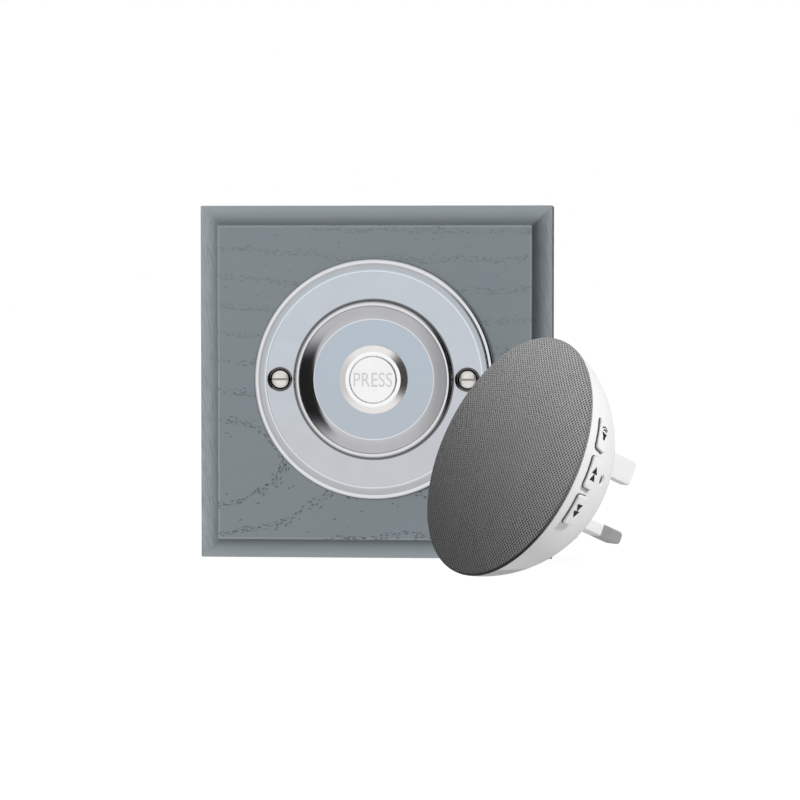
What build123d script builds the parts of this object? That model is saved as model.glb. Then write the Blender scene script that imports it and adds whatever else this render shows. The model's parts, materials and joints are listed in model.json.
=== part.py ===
from build123d import *
from math import asin, cos, radians, sin, sqrt
import os

# Wireless doorbell: a bell push on a painted wooden plinth, and the plug-in chime that it rings.
# Millimetres. The origin is the middle of the plinth's foot.
# +X is to the right, +Y goes into the wall behind the plinth, +Z is up, and the push faces -Y.

# Plinth: a square wooden block with a quirk and cove worked along its front edges
plinth_size = 112.0
plinth_depth = 24.0
moulding_width = 6.3
moulding_drop = 7.0
quirk_drop = 1.2
cove_sag = 1.5
push_rise = 1.2
wire_bore_radius = 17.0
recess_width = 60.0
recess_height = 50.0
recess_depth = 9.5
recess_corner = 3.0
cover_side_ledge = 8.0
cover_end_ledge = 2.0
wall_hole_radius = 2.25
wall_sink_radius = 4.2
wall_sink_margin = 0.8
sink_angle = 90.0

# Push plate: a turned plate with a beaded edge, a flat ring and a raised dish
plate_radius = 38.0
bead_width = 1.9
ovolo_width = 2.2
ring_width = 8.6
rim_width = 2.2
slope_width = 4.1
plate_edge = 1.0
bead_foot = 1.2
bead_crest = 1.75
ovolo_height = 3.0
ring_height = 2.7
rim_shoulder = 5.2
rim_height = 6.0
boss_draft = 0.5
dish_height = 2.4
plate_wall = 1.6
screw_pad_radius = 5.0

# Screws of the plate
flange_sink_radius = 3.9
flange_hole_radius = 1.8
flange_head_radius = 2.7
flange_head_rise = 1.1
flange_shank_radius = 1.5
flange_screw_reach = 12.0
flange_tip_length = 1.8
flange_slot_width = 0.8
flange_slot_depth = 0.8

# Push switch: a turned barrel clamped in the dish, with a sprung button and a contact block
bezel_radius = 10.8
bezel_flat_radius = 8.7
bezel_edge = 0.6
bezel_height = 1.9
barrel_radius = 9.5
barrel_wall = 0.9
barrel_reach = 7.0
barrel_lip = 2.0
gasket_thickness = 0.5
gasket_inset = 0.2
nut_across_flats = 22.0
nut_thickness = 2.5
button_radius = 7.25
button_proud = 0.4
button_edge = 0.3
button_flange = 1.2
button_stem_radius = 3.0
button_stem_length = 5.1
button_travel = 1.5
spring_length = 4.5
spring_wire = 0.6
spring_radius = 6.2
spring_turns = 3.5
spring_wire_sides = 8
contact_radius = 4.6
contact_thickness = 0.4
contact_well_gap = 0.4
contact_well_depth = 3.6
block_tail = 2.5
block_flange_inset = 0.2
terminal_head_radius = 1.1
terminal_spacing = 6.0
terminal_width = 2.8
terminal_thickness = 0.8
terminal_reach = 3.1
lead_radius = 0.65
lead_bend = 2.0
lead_spread = 12.0
lead_step = 1.2

# Transmitter behind the push
board_width = 50.0
board_height = 42.0
board_thickness = 1.6
board_corner = 2.0
board_screw_margin = 3.2
board_screw_head = 2.0
board_screw_head_height = 1.3
board_screw_radius = 0.95
board_screw_reach = 6.0
cell_radius = 10.0
cell_thickness = 3.2
cell_cap_radius = 9.0
cell_cap_height = 0.6
cell_place = -8.0
holder_wall = 1.15
holder_floor = 0.8
holder_notch = 10.0
clip_width = 6.0
clip_thickness = 0.4
clip_gap = 0.2
chip_inset = 10.0
chip_spread = 9.0
chip_size = 7.0
chip_height = 1.2
crystal_length = 5.0
crystal_width = 3.2
crystal_corner = 0.6
crystal_height = 1.4
cover_thickness = 2.0
cover_inset = 0.2
cover_sink_radius = 2.6
cover_screw_radius = 1.1
cover_screw_reach = 7.0

# Chime: a ball-shaped bowl with a domed cloth front, lying on its bowl in front of the plinth
chime_x = 44.1
chime_ahead = 42.5
chime_heading = 54.2
chime_tilt = 23.0
bowl_radius = 39.7
plug_face_radius = 23.2
body_depth = 22.0
split_depth = 16.0
shell_wall = 2.0
dome_height = 4.5
cloth_edge = 0.8
cloth_thickness = 0.5
grille_wall = 1.6
grille_hole_radius = 1.9
grille_hole_pitch = 5.6
grille_rings = 3
grille_ring_holes = 6
skirt_depth = 1.5
skirt_wall = 1.4

# Loudspeaker behind the grille
speaker_radius = 21.0
speaker_flange = 1.0
speaker_flange_width = 2.0
speaker_seat = 0.5
speaker_collar = 1.7
basket_depth = 8.0
basket_foot_radius = 11.0
basket_wall = 1.0
basket_lip = 0.4
cone_ledge = 2.0
cone_ledge_width = 1.4
cone_paper = 0.5
cone_roll_width = 1.9
cone_roll_height = 0.8
cone_neck_radius = 6.2
cone_neck_depth = 5.4
cone_cap_depth = 4.2
magnet_radius = 10.0
magnet_height = 4.5
pole_radius = 5.4
pole_hole_gap = 0.6
pole_height = 1.4

# Keys on the side of the bowl, their switches and the status light
key_group_angle = -1.6
key_pitch = 18.7
key_depth = 6.0
key_length = 9.7
key_width = 5.0
key_corner = 1.0
key_proud = 1.0
key_edge = 0.35
key_flange = 1.0
key_flange_lip = 0.6
key_flange_drop = 0.75
key_stem_radius = 1.5
key_stem_length = 0.85
key_travel = 0.6
switch_plunger_radius = 0.9
switch_plunger_height = 0.6
switch_body = 4.5
switch_height = 2.0
strip_half_width = 2.5
strip_thickness = 0.8
strip_half_angle = 32.0
rib_start = 3.2
rib_end = 7.0
rib_width = 10.2
rib_thickness = 1.6
ribbon_width = 6.0
ribbon_thickness = 0.4
ribbon_foot_inset = 2.0
status_depth = 12.9
status_radius = 1.2
status_recess = 0.6
status_length = 4.4
status_collar = 0.7

# Plug end of the chime
plug_wall = 2.0
plug_edge = 1.2
lip_height = 2.2
lip_wall = 1.1
post_radius = 2.3
post_height = 4.4
post_inset = 5.9
post_count = 3
post_angle = 30.0
pin_spacing = 22.225
pin_width = 6.35
pin_thickness = 3.975
pin_length = 17.7
pin_corner = 0.6
pin_tip = 1.8
pin_collar = 0.6
pin_collar_height = 1.5
pin_tail_width = 2.5
pin_tail_thickness = 1.0
sleeve_length = 9.3
sleeve_wall = 0.55
earth_width = 3.975
earth_height = 7.925
earth_length = 22.73
chime_board_gap = 0.7
capacitor_radius = 4.0
capacitor_height = 7.0
capacitor_inset = 6.4
capacitor_angle = -49.0
transformer_size = 11.0
transformer_height = 6.0
transformer_inset = 7.0
transformer_angle = 203.0
winding_size = 8.0
winding_overhang = 0.5
winding_corner = 1.0
winding_drop = 1.0
sound_chip_size = 7.0
sound_chip_inset = 10.9
sound_chip_angle = 90.0
radio_chip_size = 5.0
radio_chip_inset = 7.9
radio_chip_angle = 0.0
chime_chip_height = 1.2
speaker_lead_spacing = 4.0

# Clearances
sliding_gap = 0.25
flange_gap = 0.3
fit_gap = 0.1
seat_gap = 0.05
switch_gap = 0.1

# Frame of the push: heights run out of the plinth's face, towards the caller
plinth_middle = plinth_size / 2
front_y = (plinth_depth - moulding_drop) / 2 - plinth_depth
push_center = (0, front_y, plinth_middle + push_rise)
push_face = Plane(origin=push_center, x_dir=(1, 0, 0), z_dir=(0, -1, 0))
push_back = Plane(origin=push_center, x_dir=(-1, 0, 0), z_dir=(0, 1, 0))
push_section = Plane(origin=push_center, x_dir=(1, 0, 0), z_dir=(0, 0, -1))
push_axis = Axis(push_center, (0, -1, 0))

# Radii of the push plate, from its edge inwards
bead_inner = plate_radius - bead_width
ovolo_inner = bead_inner - ovolo_width
boss_radius = ovolo_inner - ring_width
rim_inner = boss_radius - rim_width
dish_radius = rim_inner - slope_width
plate_hole = barrel_radius + fit_gap
flange_screw_place = boss_radius + ring_width / 2
wall_screw_place = plate_radius - wall_sink_radius - wall_sink_margin
plate_pilot_radius = flange_shank_radius + fit_gap

# Heights of the switch
bezel_seat = dish_height + gasket_thickness
bezel_top = bezel_seat + bezel_height
lip_under = bezel_top - barrel_lip
barrel_bore = barrel_radius - barrel_wall
button_bore = button_radius + sliding_gap
button_top = bezel_top + button_proud
button_flange_top = lip_under - fit_gap
button_flange_under = button_flange_top - button_flange
stem_end = button_flange_under - button_stem_length
contact_under = stem_end - contact_thickness
spring_foot = button_flange_under - spring_length
contact_well_radius = contact_radius + contact_well_gap
contact_well_floor = spring_foot - contact_well_depth
terminal_top = contact_under - button_travel - switch_gap
block_end = -barrel_reach - block_tail
terminal_end = block_end - terminal_reach

# Depths of the transmitter, behind the plinth's face
recess_floor = -(plinth_depth - recess_depth)
board_back = recess_floor - board_thickness
board_screw_x = board_width / 2 - board_screw_margin
board_screw_y = board_height / 2 - board_screw_margin
chip_place = board_width / 2 - chip_inset
holder_radius = cell_radius + sliding_gap
cell_front = board_back - holder_floor
cell_back = cell_front - cell_thickness
rebate_width = recess_width + 2 * cover_side_ledge
rebate_height = recess_height + 2 * cover_end_ledge
rebate_floor = -(plinth_depth - cover_thickness - cover_inset)
cover_screw_place = recess_width / 2 + cover_side_ledge / 2

# Frame of the chime: the middle of its rim, its right, its up and the way that the cloth faces
heading = radians(chime_heading)
tilt = radians(chime_tilt)
chime_front = Vector(-cos(tilt) * sin(heading), -cos(tilt) * cos(heading), sin(tilt))
chime_up = Vector(sin(tilt) * sin(heading), sin(tilt) * cos(heading), cos(tilt))
chime_right = chime_up.cross(chime_front)
bowl_center = sqrt(bowl_radius**2 - plug_face_radius**2) - body_depth
rim_center = Vector(chime_x, front_y - chime_ahead, bowl_radius - bowl_center * sin(tilt))
ball_center = rim_center + chime_front * bowl_center
chime_face = Plane(origin=rim_center, x_dir=chime_right, z_dir=chime_front)
chime_section = Plane(origin=rim_center, x_dir=chime_right, z_dir=-chime_up)
chime_axis = Axis(rim_center, chime_front)
plug_face = chime_face.offset(-body_depth)
plug_floor = chime_face.offset(plug_wall - body_depth)


def radial(angle):
    """Direction out from the chime's axis, turned from its right towards its up."""
    return chime_right * cos(radians(angle)) + chime_up * sin(radians(angle))


def tangent(angle):
    """Direction around the chime's axis at an angle."""
    return chime_up * cos(radians(angle)) - chime_right * sin(radians(angle))


def chime_section_at(angle):
    """Section through the chime's axis at an angle: radius across, height towards the cloth."""
    return Plane(origin=rim_center, x_dir=radial(angle), z_dir=-tangent(angle))


def bowl_slope(depth):
    """Angle in radians, below the ball's equator, of a place on the bowl at a depth behind the rim."""
    return asin((bowl_center + depth) / bowl_radius)


def bowl_seat(angle, depth):
    """Plane on the bowl's outside, with its height along the bowl's own normal."""
    slope = bowl_slope(depth)
    normal = radial(angle) * cos(slope) - chime_front * sin(slope)
    return Plane(origin=ball_center + normal * bowl_radius, x_dir=tangent(angle), z_dir=normal)


def bowl_radius_at(depth, inset=0.0):
    """Radius of the bowl, or of a ball inset from it, at a depth behind the rim."""
    return sqrt((bowl_radius - inset) ** 2 - (bowl_center + depth) ** 2)


def bowl_arc(start, end, inset=0.0):
    """Arc of the bowl's section between two depths."""
    depths = (start, (start + end) / 2, end)
    ThreePointArc(*[(bowl_radius_at(depth, inset), -depth) for depth in depths])


def dome_z(radius, drop):
    """Height over the rim of the dome that lies a drop below the cloth's outside."""
    return dome_height - drop - dome_radius + sqrt(dome_radius**2 - radius**2)


def dome_arc(start, end, drop):
    """Arc of the dome's section between two radii."""
    radii = (start, (start + end) / 2, end)
    ThreePointArc(*[(radius, dome_z(radius, drop)) for radius in radii])


# Radii and depths of the chime
rim_radius = bowl_radius_at(0)
dome_rise = dome_height - cloth_edge
dome_radius = (rim_radius**2 + dome_rise**2) / (2 * dome_rise)
grille_drop = cloth_thickness + seat_gap
grille_back = grille_drop + grille_wall
grille_edge = rim_radius - cloth_thickness - seat_gap
skirt_radius = bowl_radius_at(skirt_depth, shell_wall) - fit_gap
collar_inner = speaker_radius + sliding_gap
speaker_hole = speaker_radius - speaker_flange_width
flange_back = speaker_seat + speaker_flange
cone_ledge_inner = speaker_hole - cone_ledge_width
pole_hole = pole_radius + pole_hole_gap
floor_depth = body_depth - plug_wall
chime_board_back = floor_depth - post_height
chime_board_front = chime_board_back - board_thickness
lip_radius = bowl_radius_at(split_depth, shell_wall) - fit_gap
lip_inner = lip_radius - lip_wall
lip_root = sqrt((bowl_radius - shell_wall) ** 2 - lip_inner**2) - bowl_center
chime_board_radius = lip_inner - chime_board_gap
chime_board_plane = chime_face.offset(-chime_board_front)
post_circle = chime_board_radius - post_inset
pin_place = pin_spacing / 2

# Depths of a key below the bowl's outside
key_angles = {
    "volume_button": key_group_angle + key_pitch,
    "next_button": key_group_angle,
    "previous_button": key_group_angle - key_pitch,
}
key_flange_top = shell_wall + key_flange_drop
key_flange_under = key_flange_top + key_flange
key_stem_end = key_flange_under + key_stem_length
plunger_top = key_stem_end + key_travel + switch_gap
switch_top = plunger_top + switch_plunger_height
switch_foot = switch_top + switch_height
strip_place = bowl_radius - switch_foot
rib_inner_radius = bowl_radius - shell_wall - rib_width


def plinth_profile(plane):
    """Section of the plinth: a flat back, and a quirk and cove along each front edge."""
    field = plinth_middle - moulding_width
    with BuildSketch(plane) as profile:
        with BuildLine():
            Polyline((0, -plinth_depth), (plinth_middle, -plinth_depth), (plinth_middle, -moulding_drop))
            SagittaArc((plinth_middle, -moulding_drop), (field, -quirk_drop), cove_sag)
            Polyline((field, -quirk_drop), (field, 0), (0, 0))
            mirror(about=Plane.YZ)
        make_face()
    return profile.sketch


# Plinth: the crossing of two moulded lengths gives the mitred corners
plinth_end = Plane(origin=(-plinth_middle, front_y, plinth_middle), x_dir=(0, 0, 1), z_dir=(1, 0, 0))
plinth_top = Plane(origin=(0, front_y, plinth_size), x_dir=(1, 0, 0), z_dir=(0, 0, -1))
with BuildPart() as plinth:
    extrude(plinth_profile(plinth_end), amount=plinth_size)
    extrude(plinth_profile(plinth_top), amount=plinth_size, mode=Mode.INTERSECT)
    with BuildSketch(push_face):
        Circle(wire_bore_radius)
    extrude(amount=recess_floor, mode=Mode.SUBTRACT)
    with BuildSketch(push_face.offset(-plinth_depth)):
        RectangleRounded(recess_width, recess_height, recess_corner)
    extrude(amount=recess_depth, mode=Mode.SUBTRACT)
    with BuildSketch(push_face.offset(-plinth_depth)):
        RectangleRounded(rebate_width, rebate_height, recess_corner)
    extrude(amount=plinth_depth + rebate_floor, mode=Mode.SUBTRACT)
    with Locations(push_face):
        with Locations((0, wall_screw_place), (0, -wall_screw_place)):
            CounterSinkHole(wall_hole_radius, wall_sink_radius, plinth_depth, sink_angle)
        with Locations((flange_screw_place, 0), (-flange_screw_place, 0)):
            Hole(plate_pilot_radius, flange_screw_reach + fit_gap)
    with Locations(push_back.offset(-recess_floor)):
        with GridLocations(2 * board_screw_x, 2 * board_screw_y, 2, 2):
            Hole(board_screw_radius + fit_gap, board_screw_reach + fit_gap)
    with Locations(push_back.offset(-rebate_floor)):
        with GridLocations(2 * cover_screw_place, 0, 2, 1):
            Hole(cover_screw_radius + fit_gap, cover_screw_reach + fit_gap)

# Push plate: turned section, then pads round the two screw holes
dish_slope = (rim_shoulder - dish_height) / slope_width
slope_thickness = plate_wall * sqrt(1 + dish_slope**2)
boss_inner = boss_radius - plate_wall
boss_top = boss_radius - boss_draft
slope_back_top = dish_height + dish_slope * (boss_inner - dish_radius) - slope_thickness
slope_back_foot = dish_radius + (slope_thickness - plate_wall) / dish_slope
with BuildPart() as push_plate:
    with BuildSketch(push_section):
        with BuildLine():
            Polyline((plate_hole, dish_height), (dish_radius, dish_height), (rim_inner, rim_shoulder))
            ThreePointArc(
                (rim_inner, rim_shoulder),
                ((rim_inner + boss_top) / 2, rim_height),
                (boss_top, rim_shoulder),
            )
            Polyline(
                (boss_top, rim_shoulder),
                (boss_radius, ring_height),
                (ovolo_inner, ring_height),
                (ovolo_inner, ovolo_height),
            )
            TangentArc((ovolo_inner, ovolo_height), (bead_inner, bead_foot), tangent=(1, 0))
            ThreePointArc(
                (bead_inner, bead_foot),
                (bead_inner + bead_width / 2, bead_crest),
                (plate_radius, plate_edge),
            )
            Polyline(
                (plate_radius, plate_edge),
                (plate_radius, 0),
                (bead_inner, 0),
                (ovolo_inner, ring_height - plate_wall),
                (boss_inner, ring_height - plate_wall),
                (boss_inner, slope_back_top),
                (slope_back_foot, dish_height - plate_wall),
                (plate_hole, dish_height - plate_wall),
                (plate_hole, dish_height),
            )
        make_face()
    revolve(axis=push_axis)
    with BuildSketch(push_face):
        with Locations((flange_screw_place, 0), (-flange_screw_place, 0)):
            Circle(screw_pad_radius)
    extrude(amount=ring_height - plate_wall)
    with Locations(push_face.offset(ring_height)):
        with Locations((flange_screw_place, 0), (-flange_screw_place, 0)):
            CounterSinkHole(flange_hole_radius, flange_sink_radius, ring_height, sink_angle)

# Raised-head screws of the plate, one each side
head_rim = ring_height - (flange_sink_radius - flange_head_radius) + seat_gap
neck_height = head_rim - (flange_head_radius - flange_shank_radius)
head_top = head_rim + flange_head_rise
screw_center = (flange_screw_place, 0)
with BuildPart() as flange_screws:
    with BuildSketch(push_section):
        with BuildLine():
            Polyline(
                (flange_screw_place, head_top),
                (flange_screw_place, -flange_screw_reach),
                (flange_screw_place + flange_shank_radius, flange_tip_length - flange_screw_reach),
                (flange_screw_place + flange_shank_radius, neck_height),
                (flange_screw_place + flange_head_radius, head_rim),
            )
            TangentArc(
                (flange_screw_place, head_top),
                (flange_screw_place + flange_head_radius, head_rim),
                tangent=(1, 0),
            )
        make_face()
    revolve(axis=Axis(push_section.from_local_coords((flange_screw_place, 0, 0)), push_axis.direction))
    with BuildSketch(push_face.offset(head_top)):
        with Locations(screw_center):
            Rectangle(2 * flange_sink_radius, flange_slot_width)
    extrude(amount=-flange_slot_depth, mode=Mode.SUBTRACT)
    mirror(about=Plane.YZ)

# Switch barrel with its bevelled bezel
with BuildPart() as switch_barrel:
    with BuildSketch(push_section):
        with BuildLine():
            Polyline(
                (button_bore, bezel_top),
                (bezel_flat_radius, bezel_top),
                (bezel_radius, bezel_seat + bezel_edge),
                (bezel_radius, bezel_seat),
                (barrel_radius, bezel_seat),
                (barrel_radius, -barrel_reach),
                (barrel_bore, -barrel_reach),
                (barrel_bore, lip_under),
                (button_bore, lip_under),
                close=True,
            )
        make_face()
    revolve(axis=push_axis)

with BuildPart() as barrel_gasket:
    with BuildSketch(push_face.offset(dish_height)):
        Circle(bezel_radius - gasket_inset)
        Circle(plate_hole, mode=Mode.SUBTRACT)
    extrude(amount=gasket_thickness)

with BuildPart() as barrel_nut:
    with BuildSketch(push_face.offset(dish_height - plate_wall)):
        RegularPolygon(nut_across_flats / 2, 6, major_radius=False)
        Circle(plate_hole, mode=Mode.SUBTRACT)
    extrude(amount=-nut_thickness)

# Button: cap, retaining flange and stem in one piece
with BuildPart() as press_button:
    with BuildSketch(push_face.offset(stem_end)):
        Circle(button_stem_radius)
    extrude(amount=button_stem_length)
    with BuildSketch(push_face.offset(button_flange_under)):
        Circle(barrel_bore - flange_gap)
    extrude(amount=button_flange)
    with BuildSketch(push_face.offset(button_flange_top)):
        Circle(button_radius)
    extrude(amount=button_top - button_flange_top)
    chamfer(press_button.faces().sort_by(push_axis)[-1].edges(), button_edge)

with BuildPart() as contact_plate:
    with BuildSketch(push_face.offset(stem_end)):
        Circle(contact_radius)
    extrude(amount=-contact_thickness)

# Return spring between the button's flange and the contact block
coil_height = spring_length - spring_wire - 2 * seat_gap
coil_foot = push_face.from_local_coords((0, 0, spring_foot + spring_wire / 2 + seat_gap))
with BuildPart() as button_spring:
    with BuildLine() as coil:
        Helix(coil_height / spring_turns, coil_height, spring_radius, coil_foot, push_axis.direction)
    with BuildSketch(Plane(origin=coil.line @ 0, z_dir=coil.line % 0)):
        RegularPolygon(spring_wire / 2, spring_wire_sides)
    sweep(path=coil.line, is_frenet=True)

# Contact block that closes the barrel, with a well for the contact plate and slots for the terminals
with BuildPart() as contact_block:
    with BuildSketch(push_section):
        with BuildLine():
            Polyline(
                (contact_well_radius, spring_foot),
                (barrel_bore - fit_gap, spring_foot),
                (barrel_bore - fit_gap, -barrel_reach),
                (barrel_radius - block_flange_inset, -barrel_reach),
                (barrel_radius - block_flange_inset, block_end),
                (0, block_end),
                (0, contact_well_floor),
                (contact_well_radius, contact_well_floor),
                close=True,
            )
        make_face()
    revolve(axis=push_axis)
    with BuildSketch(push_face.offset(block_end)):
        with GridLocations(terminal_spacing, 0, 2, 1):
            Rectangle(terminal_thickness + 2 * fit_gap, terminal_width + 2 * fit_gap)
    extrude(amount=contact_well_floor - block_end, mode=Mode.SUBTRACT)

with BuildPart() as switch_terminals:
    with BuildSketch(push_face.offset(contact_well_floor)):
        with GridLocations(terminal_spacing, 0, 2, 1):
            Circle(terminal_head_radius)
    extrude(amount=terminal_top - contact_well_floor)
    with BuildSketch(push_face.offset(contact_well_floor)):
        with GridLocations(terminal_spacing, 0, 2, 1):
            Rectangle(terminal_thickness, terminal_width)
    extrude(amount=terminal_end - contact_well_floor)


def switch_lead(side):
    """Insulated lead from a terminal's outer face to the front of the transmitter board."""
    start = terminal_spacing / 2 + terminal_thickness / 2
    height = terminal_end + lead_step
    with BuildPart() as lead:
        with BuildLine(push_section) as route:
            FilletPolyline(
                (side * start, height),
                (side * lead_spread, height),
                (side * lead_spread, recess_floor),
                radius=lead_bend,
            )
        with BuildSketch(Plane(origin=route.line @ 0, z_dir=route.line % 0)):
            Circle(lead_radius)
        sweep(path=route.line)
    return lead


switch_lead_left = switch_lead(-1)
switch_lead_right = switch_lead(1)

# Transmitter board on the floor of the recess, and what it carries
with BuildPart() as transmitter_board:
    with BuildSketch(push_face.offset(recess_floor)):
        RectangleRounded(board_width, board_height, board_corner)
        with GridLocations(2 * board_screw_x, 2 * board_screw_y, 2, 2):
            Circle(board_screw_radius + sliding_gap, mode=Mode.SUBTRACT)
    extrude(amount=-board_thickness)

with BuildPart() as board_screws:
    with BuildSketch(push_face.offset(board_back)):
        with GridLocations(2 * board_screw_x, 2 * board_screw_y, 2, 2):
            Circle(board_screw_head)
    extrude(amount=-board_screw_head_height)
    with BuildSketch(push_face.offset(board_back)):
        with GridLocations(2 * board_screw_x, 2 * board_screw_y, 2, 2):
            Circle(board_screw_radius)
    extrude(amount=board_thickness + board_screw_reach)

with BuildPart() as board_chips:
    with BuildSketch(push_face.offset(board_back)):
        with Locations((chip_place, chip_spread), (chip_place, -chip_spread)):
            Rectangle(chip_size, chip_size)
    extrude(amount=-chip_height)
    with BuildSketch(push_face.offset(board_back)):
        with Locations((chip_place, 0)):
            RectangleRounded(crystal_length, crystal_width, crystal_corner)
    extrude(amount=-crystal_height)

with BuildPart() as cell_holder:
    with BuildSketch(push_face.offset(board_back)):
        with Locations((cell_place, 0)):
            Circle(holder_radius + holder_wall)
    extrude(amount=cell_back - board_back + fit_gap)
    with BuildSketch(push_face.offset(cell_front)):
        with Locations((cell_place, 0)):
            Circle(holder_radius)
        with Locations((cell_place, holder_radius)):
            Rectangle(holder_notch, 2 * holder_wall + holder_radius)
    extrude(amount=-cell_thickness, mode=Mode.SUBTRACT)

cell_section = Plane(push_section.from_local_coords((cell_place, 0, 0)), (1, 0, 0), (0, 0, -1))
cell_axis = Axis(cell_section.origin, push_axis.direction)
with BuildPart() as coin_cell:
    with BuildSketch(cell_section):
        with BuildLine():
            Polyline(
                (0, cell_front),
                (cell_cap_radius, cell_front),
                (cell_cap_radius, cell_front - cell_cap_height),
                (cell_radius, cell_front - cell_cap_height),
                (cell_radius, cell_back),
                (0, cell_back),
                close=True,
            )
        make_face()
    revolve(axis=cell_axis)

clip_inner = holder_radius + holder_wall + clip_gap
clip_outer = clip_inner + clip_thickness
with BuildPart() as cell_clip:
    with BuildSketch(cell_section):
        with BuildLine():
            Polyline(
                (-clip_outer, board_back),
                (-clip_outer, cell_back - clip_thickness),
                (clip_outer, cell_back - clip_thickness),
                (clip_outer, board_back),
                (clip_inner, board_back),
                (clip_inner, cell_back),
                (-clip_inner, cell_back),
                (-clip_inner, board_back),
                close=True,
            )
        make_face()
    extrude(amount=clip_width / 2, both=True)

with BuildPart() as back_cover:
    with BuildSketch(push_back.offset(-rebate_floor)):
        RectangleRounded(rebate_width - 2 * sliding_gap, rebate_height - 2 * sliding_gap, recess_corner)
    extrude(amount=cover_thickness)
    with Locations(push_back.offset(cover_thickness - rebate_floor)):
        with GridLocations(2 * cover_screw_place, 0, 2, 1):
            CounterSinkHole(cover_screw_radius + sliding_gap, cover_sink_radius, cover_thickness, sink_angle)

cover_back = rebate_floor - cover_thickness
cover_neck = cover_back + cover_sink_radius - cover_screw_radius
with BuildPart() as cover_screws:
    with BuildSketch(push_section):
        with BuildLine():
            Polyline(
                (cover_screw_place, cover_back),
                (cover_screw_place + cover_sink_radius - fit_gap, cover_back),
                (cover_screw_place + cover_screw_radius, cover_neck - fit_gap),
                (cover_screw_place + cover_screw_radius, rebate_floor + cover_screw_reach),
                (cover_screw_place, rebate_floor + cover_screw_reach),
                close=True,
            )
        make_face()
    revolve(axis=Axis(push_section.from_local_coords((cover_screw_place, 0, 0)), push_axis.direction))
    mirror(about=Plane.YZ)

# Chime bowl: a ball-shaped wall with openings for the keys and the status light
with BuildPart() as chime_shell:
    with BuildSketch(chime_section):
        with BuildLine():
            bowl_arc(0, split_depth)
            Line(
                (bowl_radius_at(split_depth), -split_depth),
                (bowl_radius_at(split_depth, shell_wall), -split_depth),
            )
            bowl_arc(split_depth, 0, shell_wall)
            Line((bowl_radius_at(0, shell_wall), 0), (rim_radius, 0))
        make_face()
    revolve(axis=chime_axis)
    for angle in key_angles.values():
        with BuildSketch(bowl_seat(angle, key_depth)):
            RectangleRounded(key_length + 2 * sliding_gap, key_width + 2 * sliding_gap, key_corner)
        extrude(amount=key_flange_top, both=True, mode=Mode.SUBTRACT)
    with BuildSketch(bowl_seat(key_group_angle, status_depth)):
        Circle(status_radius + fit_gap)
    extrude(amount=key_flange_top, both=True, mode=Mode.SUBTRACT)
    for side in (-1, 1):
        rib_angle = key_group_angle + side * strip_half_angle
        with BuildSketch(chime_section_at(rib_angle)):
            with BuildLine():
                Polyline(
                    (rib_inner_radius, -rib_start),
                    (rib_inner_radius, -rib_end),
                    (bowl_radius_at(rib_end, shell_wall / 2), -rib_end),
                    (bowl_radius_at(rib_start, shell_wall / 2), -rib_start),
                    close=True,
                )
            make_face()
        extrude(amount=-side * rib_thickness)

# Cloth stretched over the grille and round its edge
with BuildPart() as grille_cloth:
    with BuildSketch(chime_section):
        with BuildLine():
            dome_arc(0, rim_radius, 0)
            Polyline(
                (rim_radius, dome_z(rim_radius, 0)),
                (rim_radius, seat_gap),
                (rim_radius - cloth_thickness, seat_gap),
                (rim_radius - cloth_thickness, dome_z(rim_radius - cloth_thickness, cloth_thickness)),
            )
            dome_arc(rim_radius - cloth_thickness, 0, cloth_thickness)
            Line((0, dome_z(0, cloth_thickness)), (0, dome_z(0, 0)))
        make_face()
    revolve(axis=chime_axis)

# Grille: a pierced dome with a skirt inside the bowl and a collar round the speaker
skirt_inner = skirt_radius - skirt_wall
collar_outer = collar_inner + speaker_collar
with BuildPart() as grille_frame:
    with BuildSketch(chime_section):
        with BuildLine():
            dome_arc(0, grille_edge, grille_drop)
            Polyline(
                (grille_edge, dome_z(grille_edge, grille_drop)),
                (grille_edge, 0),
                (skirt_radius, 0),
                (skirt_radius, -skirt_depth),
                (skirt_inner, -skirt_depth),
                (skirt_inner, dome_z(skirt_inner, grille_back)),
            )
            dome_arc(skirt_inner, collar_outer, grille_back)
            Polyline(
                (collar_outer, dome_z(collar_outer, grille_back)),
                (collar_outer, -flange_back),
                (collar_inner, -flange_back),
                (collar_inner, -speaker_seat),
                (speaker_hole, -speaker_seat),
                (speaker_hole, dome_z(speaker_hole, grille_back)),
            )
            dome_arc(speaker_hole, 0, grille_back)
            Line((0, dome_z(0, grille_back)), (0, dome_z(0, grille_drop)))
        make_face()
    revolve(axis=chime_axis)
    with BuildSketch(chime_face):
        Circle(grille_hole_radius)
        for ring in range(1, grille_rings + 1):
            with PolarLocations(ring * grille_hole_pitch, ring * grille_ring_holes):
                Circle(grille_hole_radius)
    extrude(amount=dome_height, mode=Mode.SUBTRACT)

# Loudspeaker: basket, paper cone and magnet
with BuildPart() as speaker_frame:
    with BuildSketch(chime_section):
        with BuildLine():
            Polyline(
                (speaker_hole, -speaker_seat),
                (speaker_radius, -speaker_seat),
                (speaker_radius, -flange_back),
                (speaker_hole + basket_lip, -flange_back),
                (speaker_hole + basket_lip, -cone_ledge - basket_wall),
                (basket_foot_radius, -basket_depth),
                (pole_hole, -basket_depth),
                (pole_hole, basket_wall - basket_depth),
                (basket_foot_radius - basket_wall, basket_wall - basket_depth),
                (cone_ledge_inner, -cone_ledge),
                (speaker_hole, -cone_ledge),
                close=True,
            )
        make_face()
    revolve(axis=chime_axis)


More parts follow.
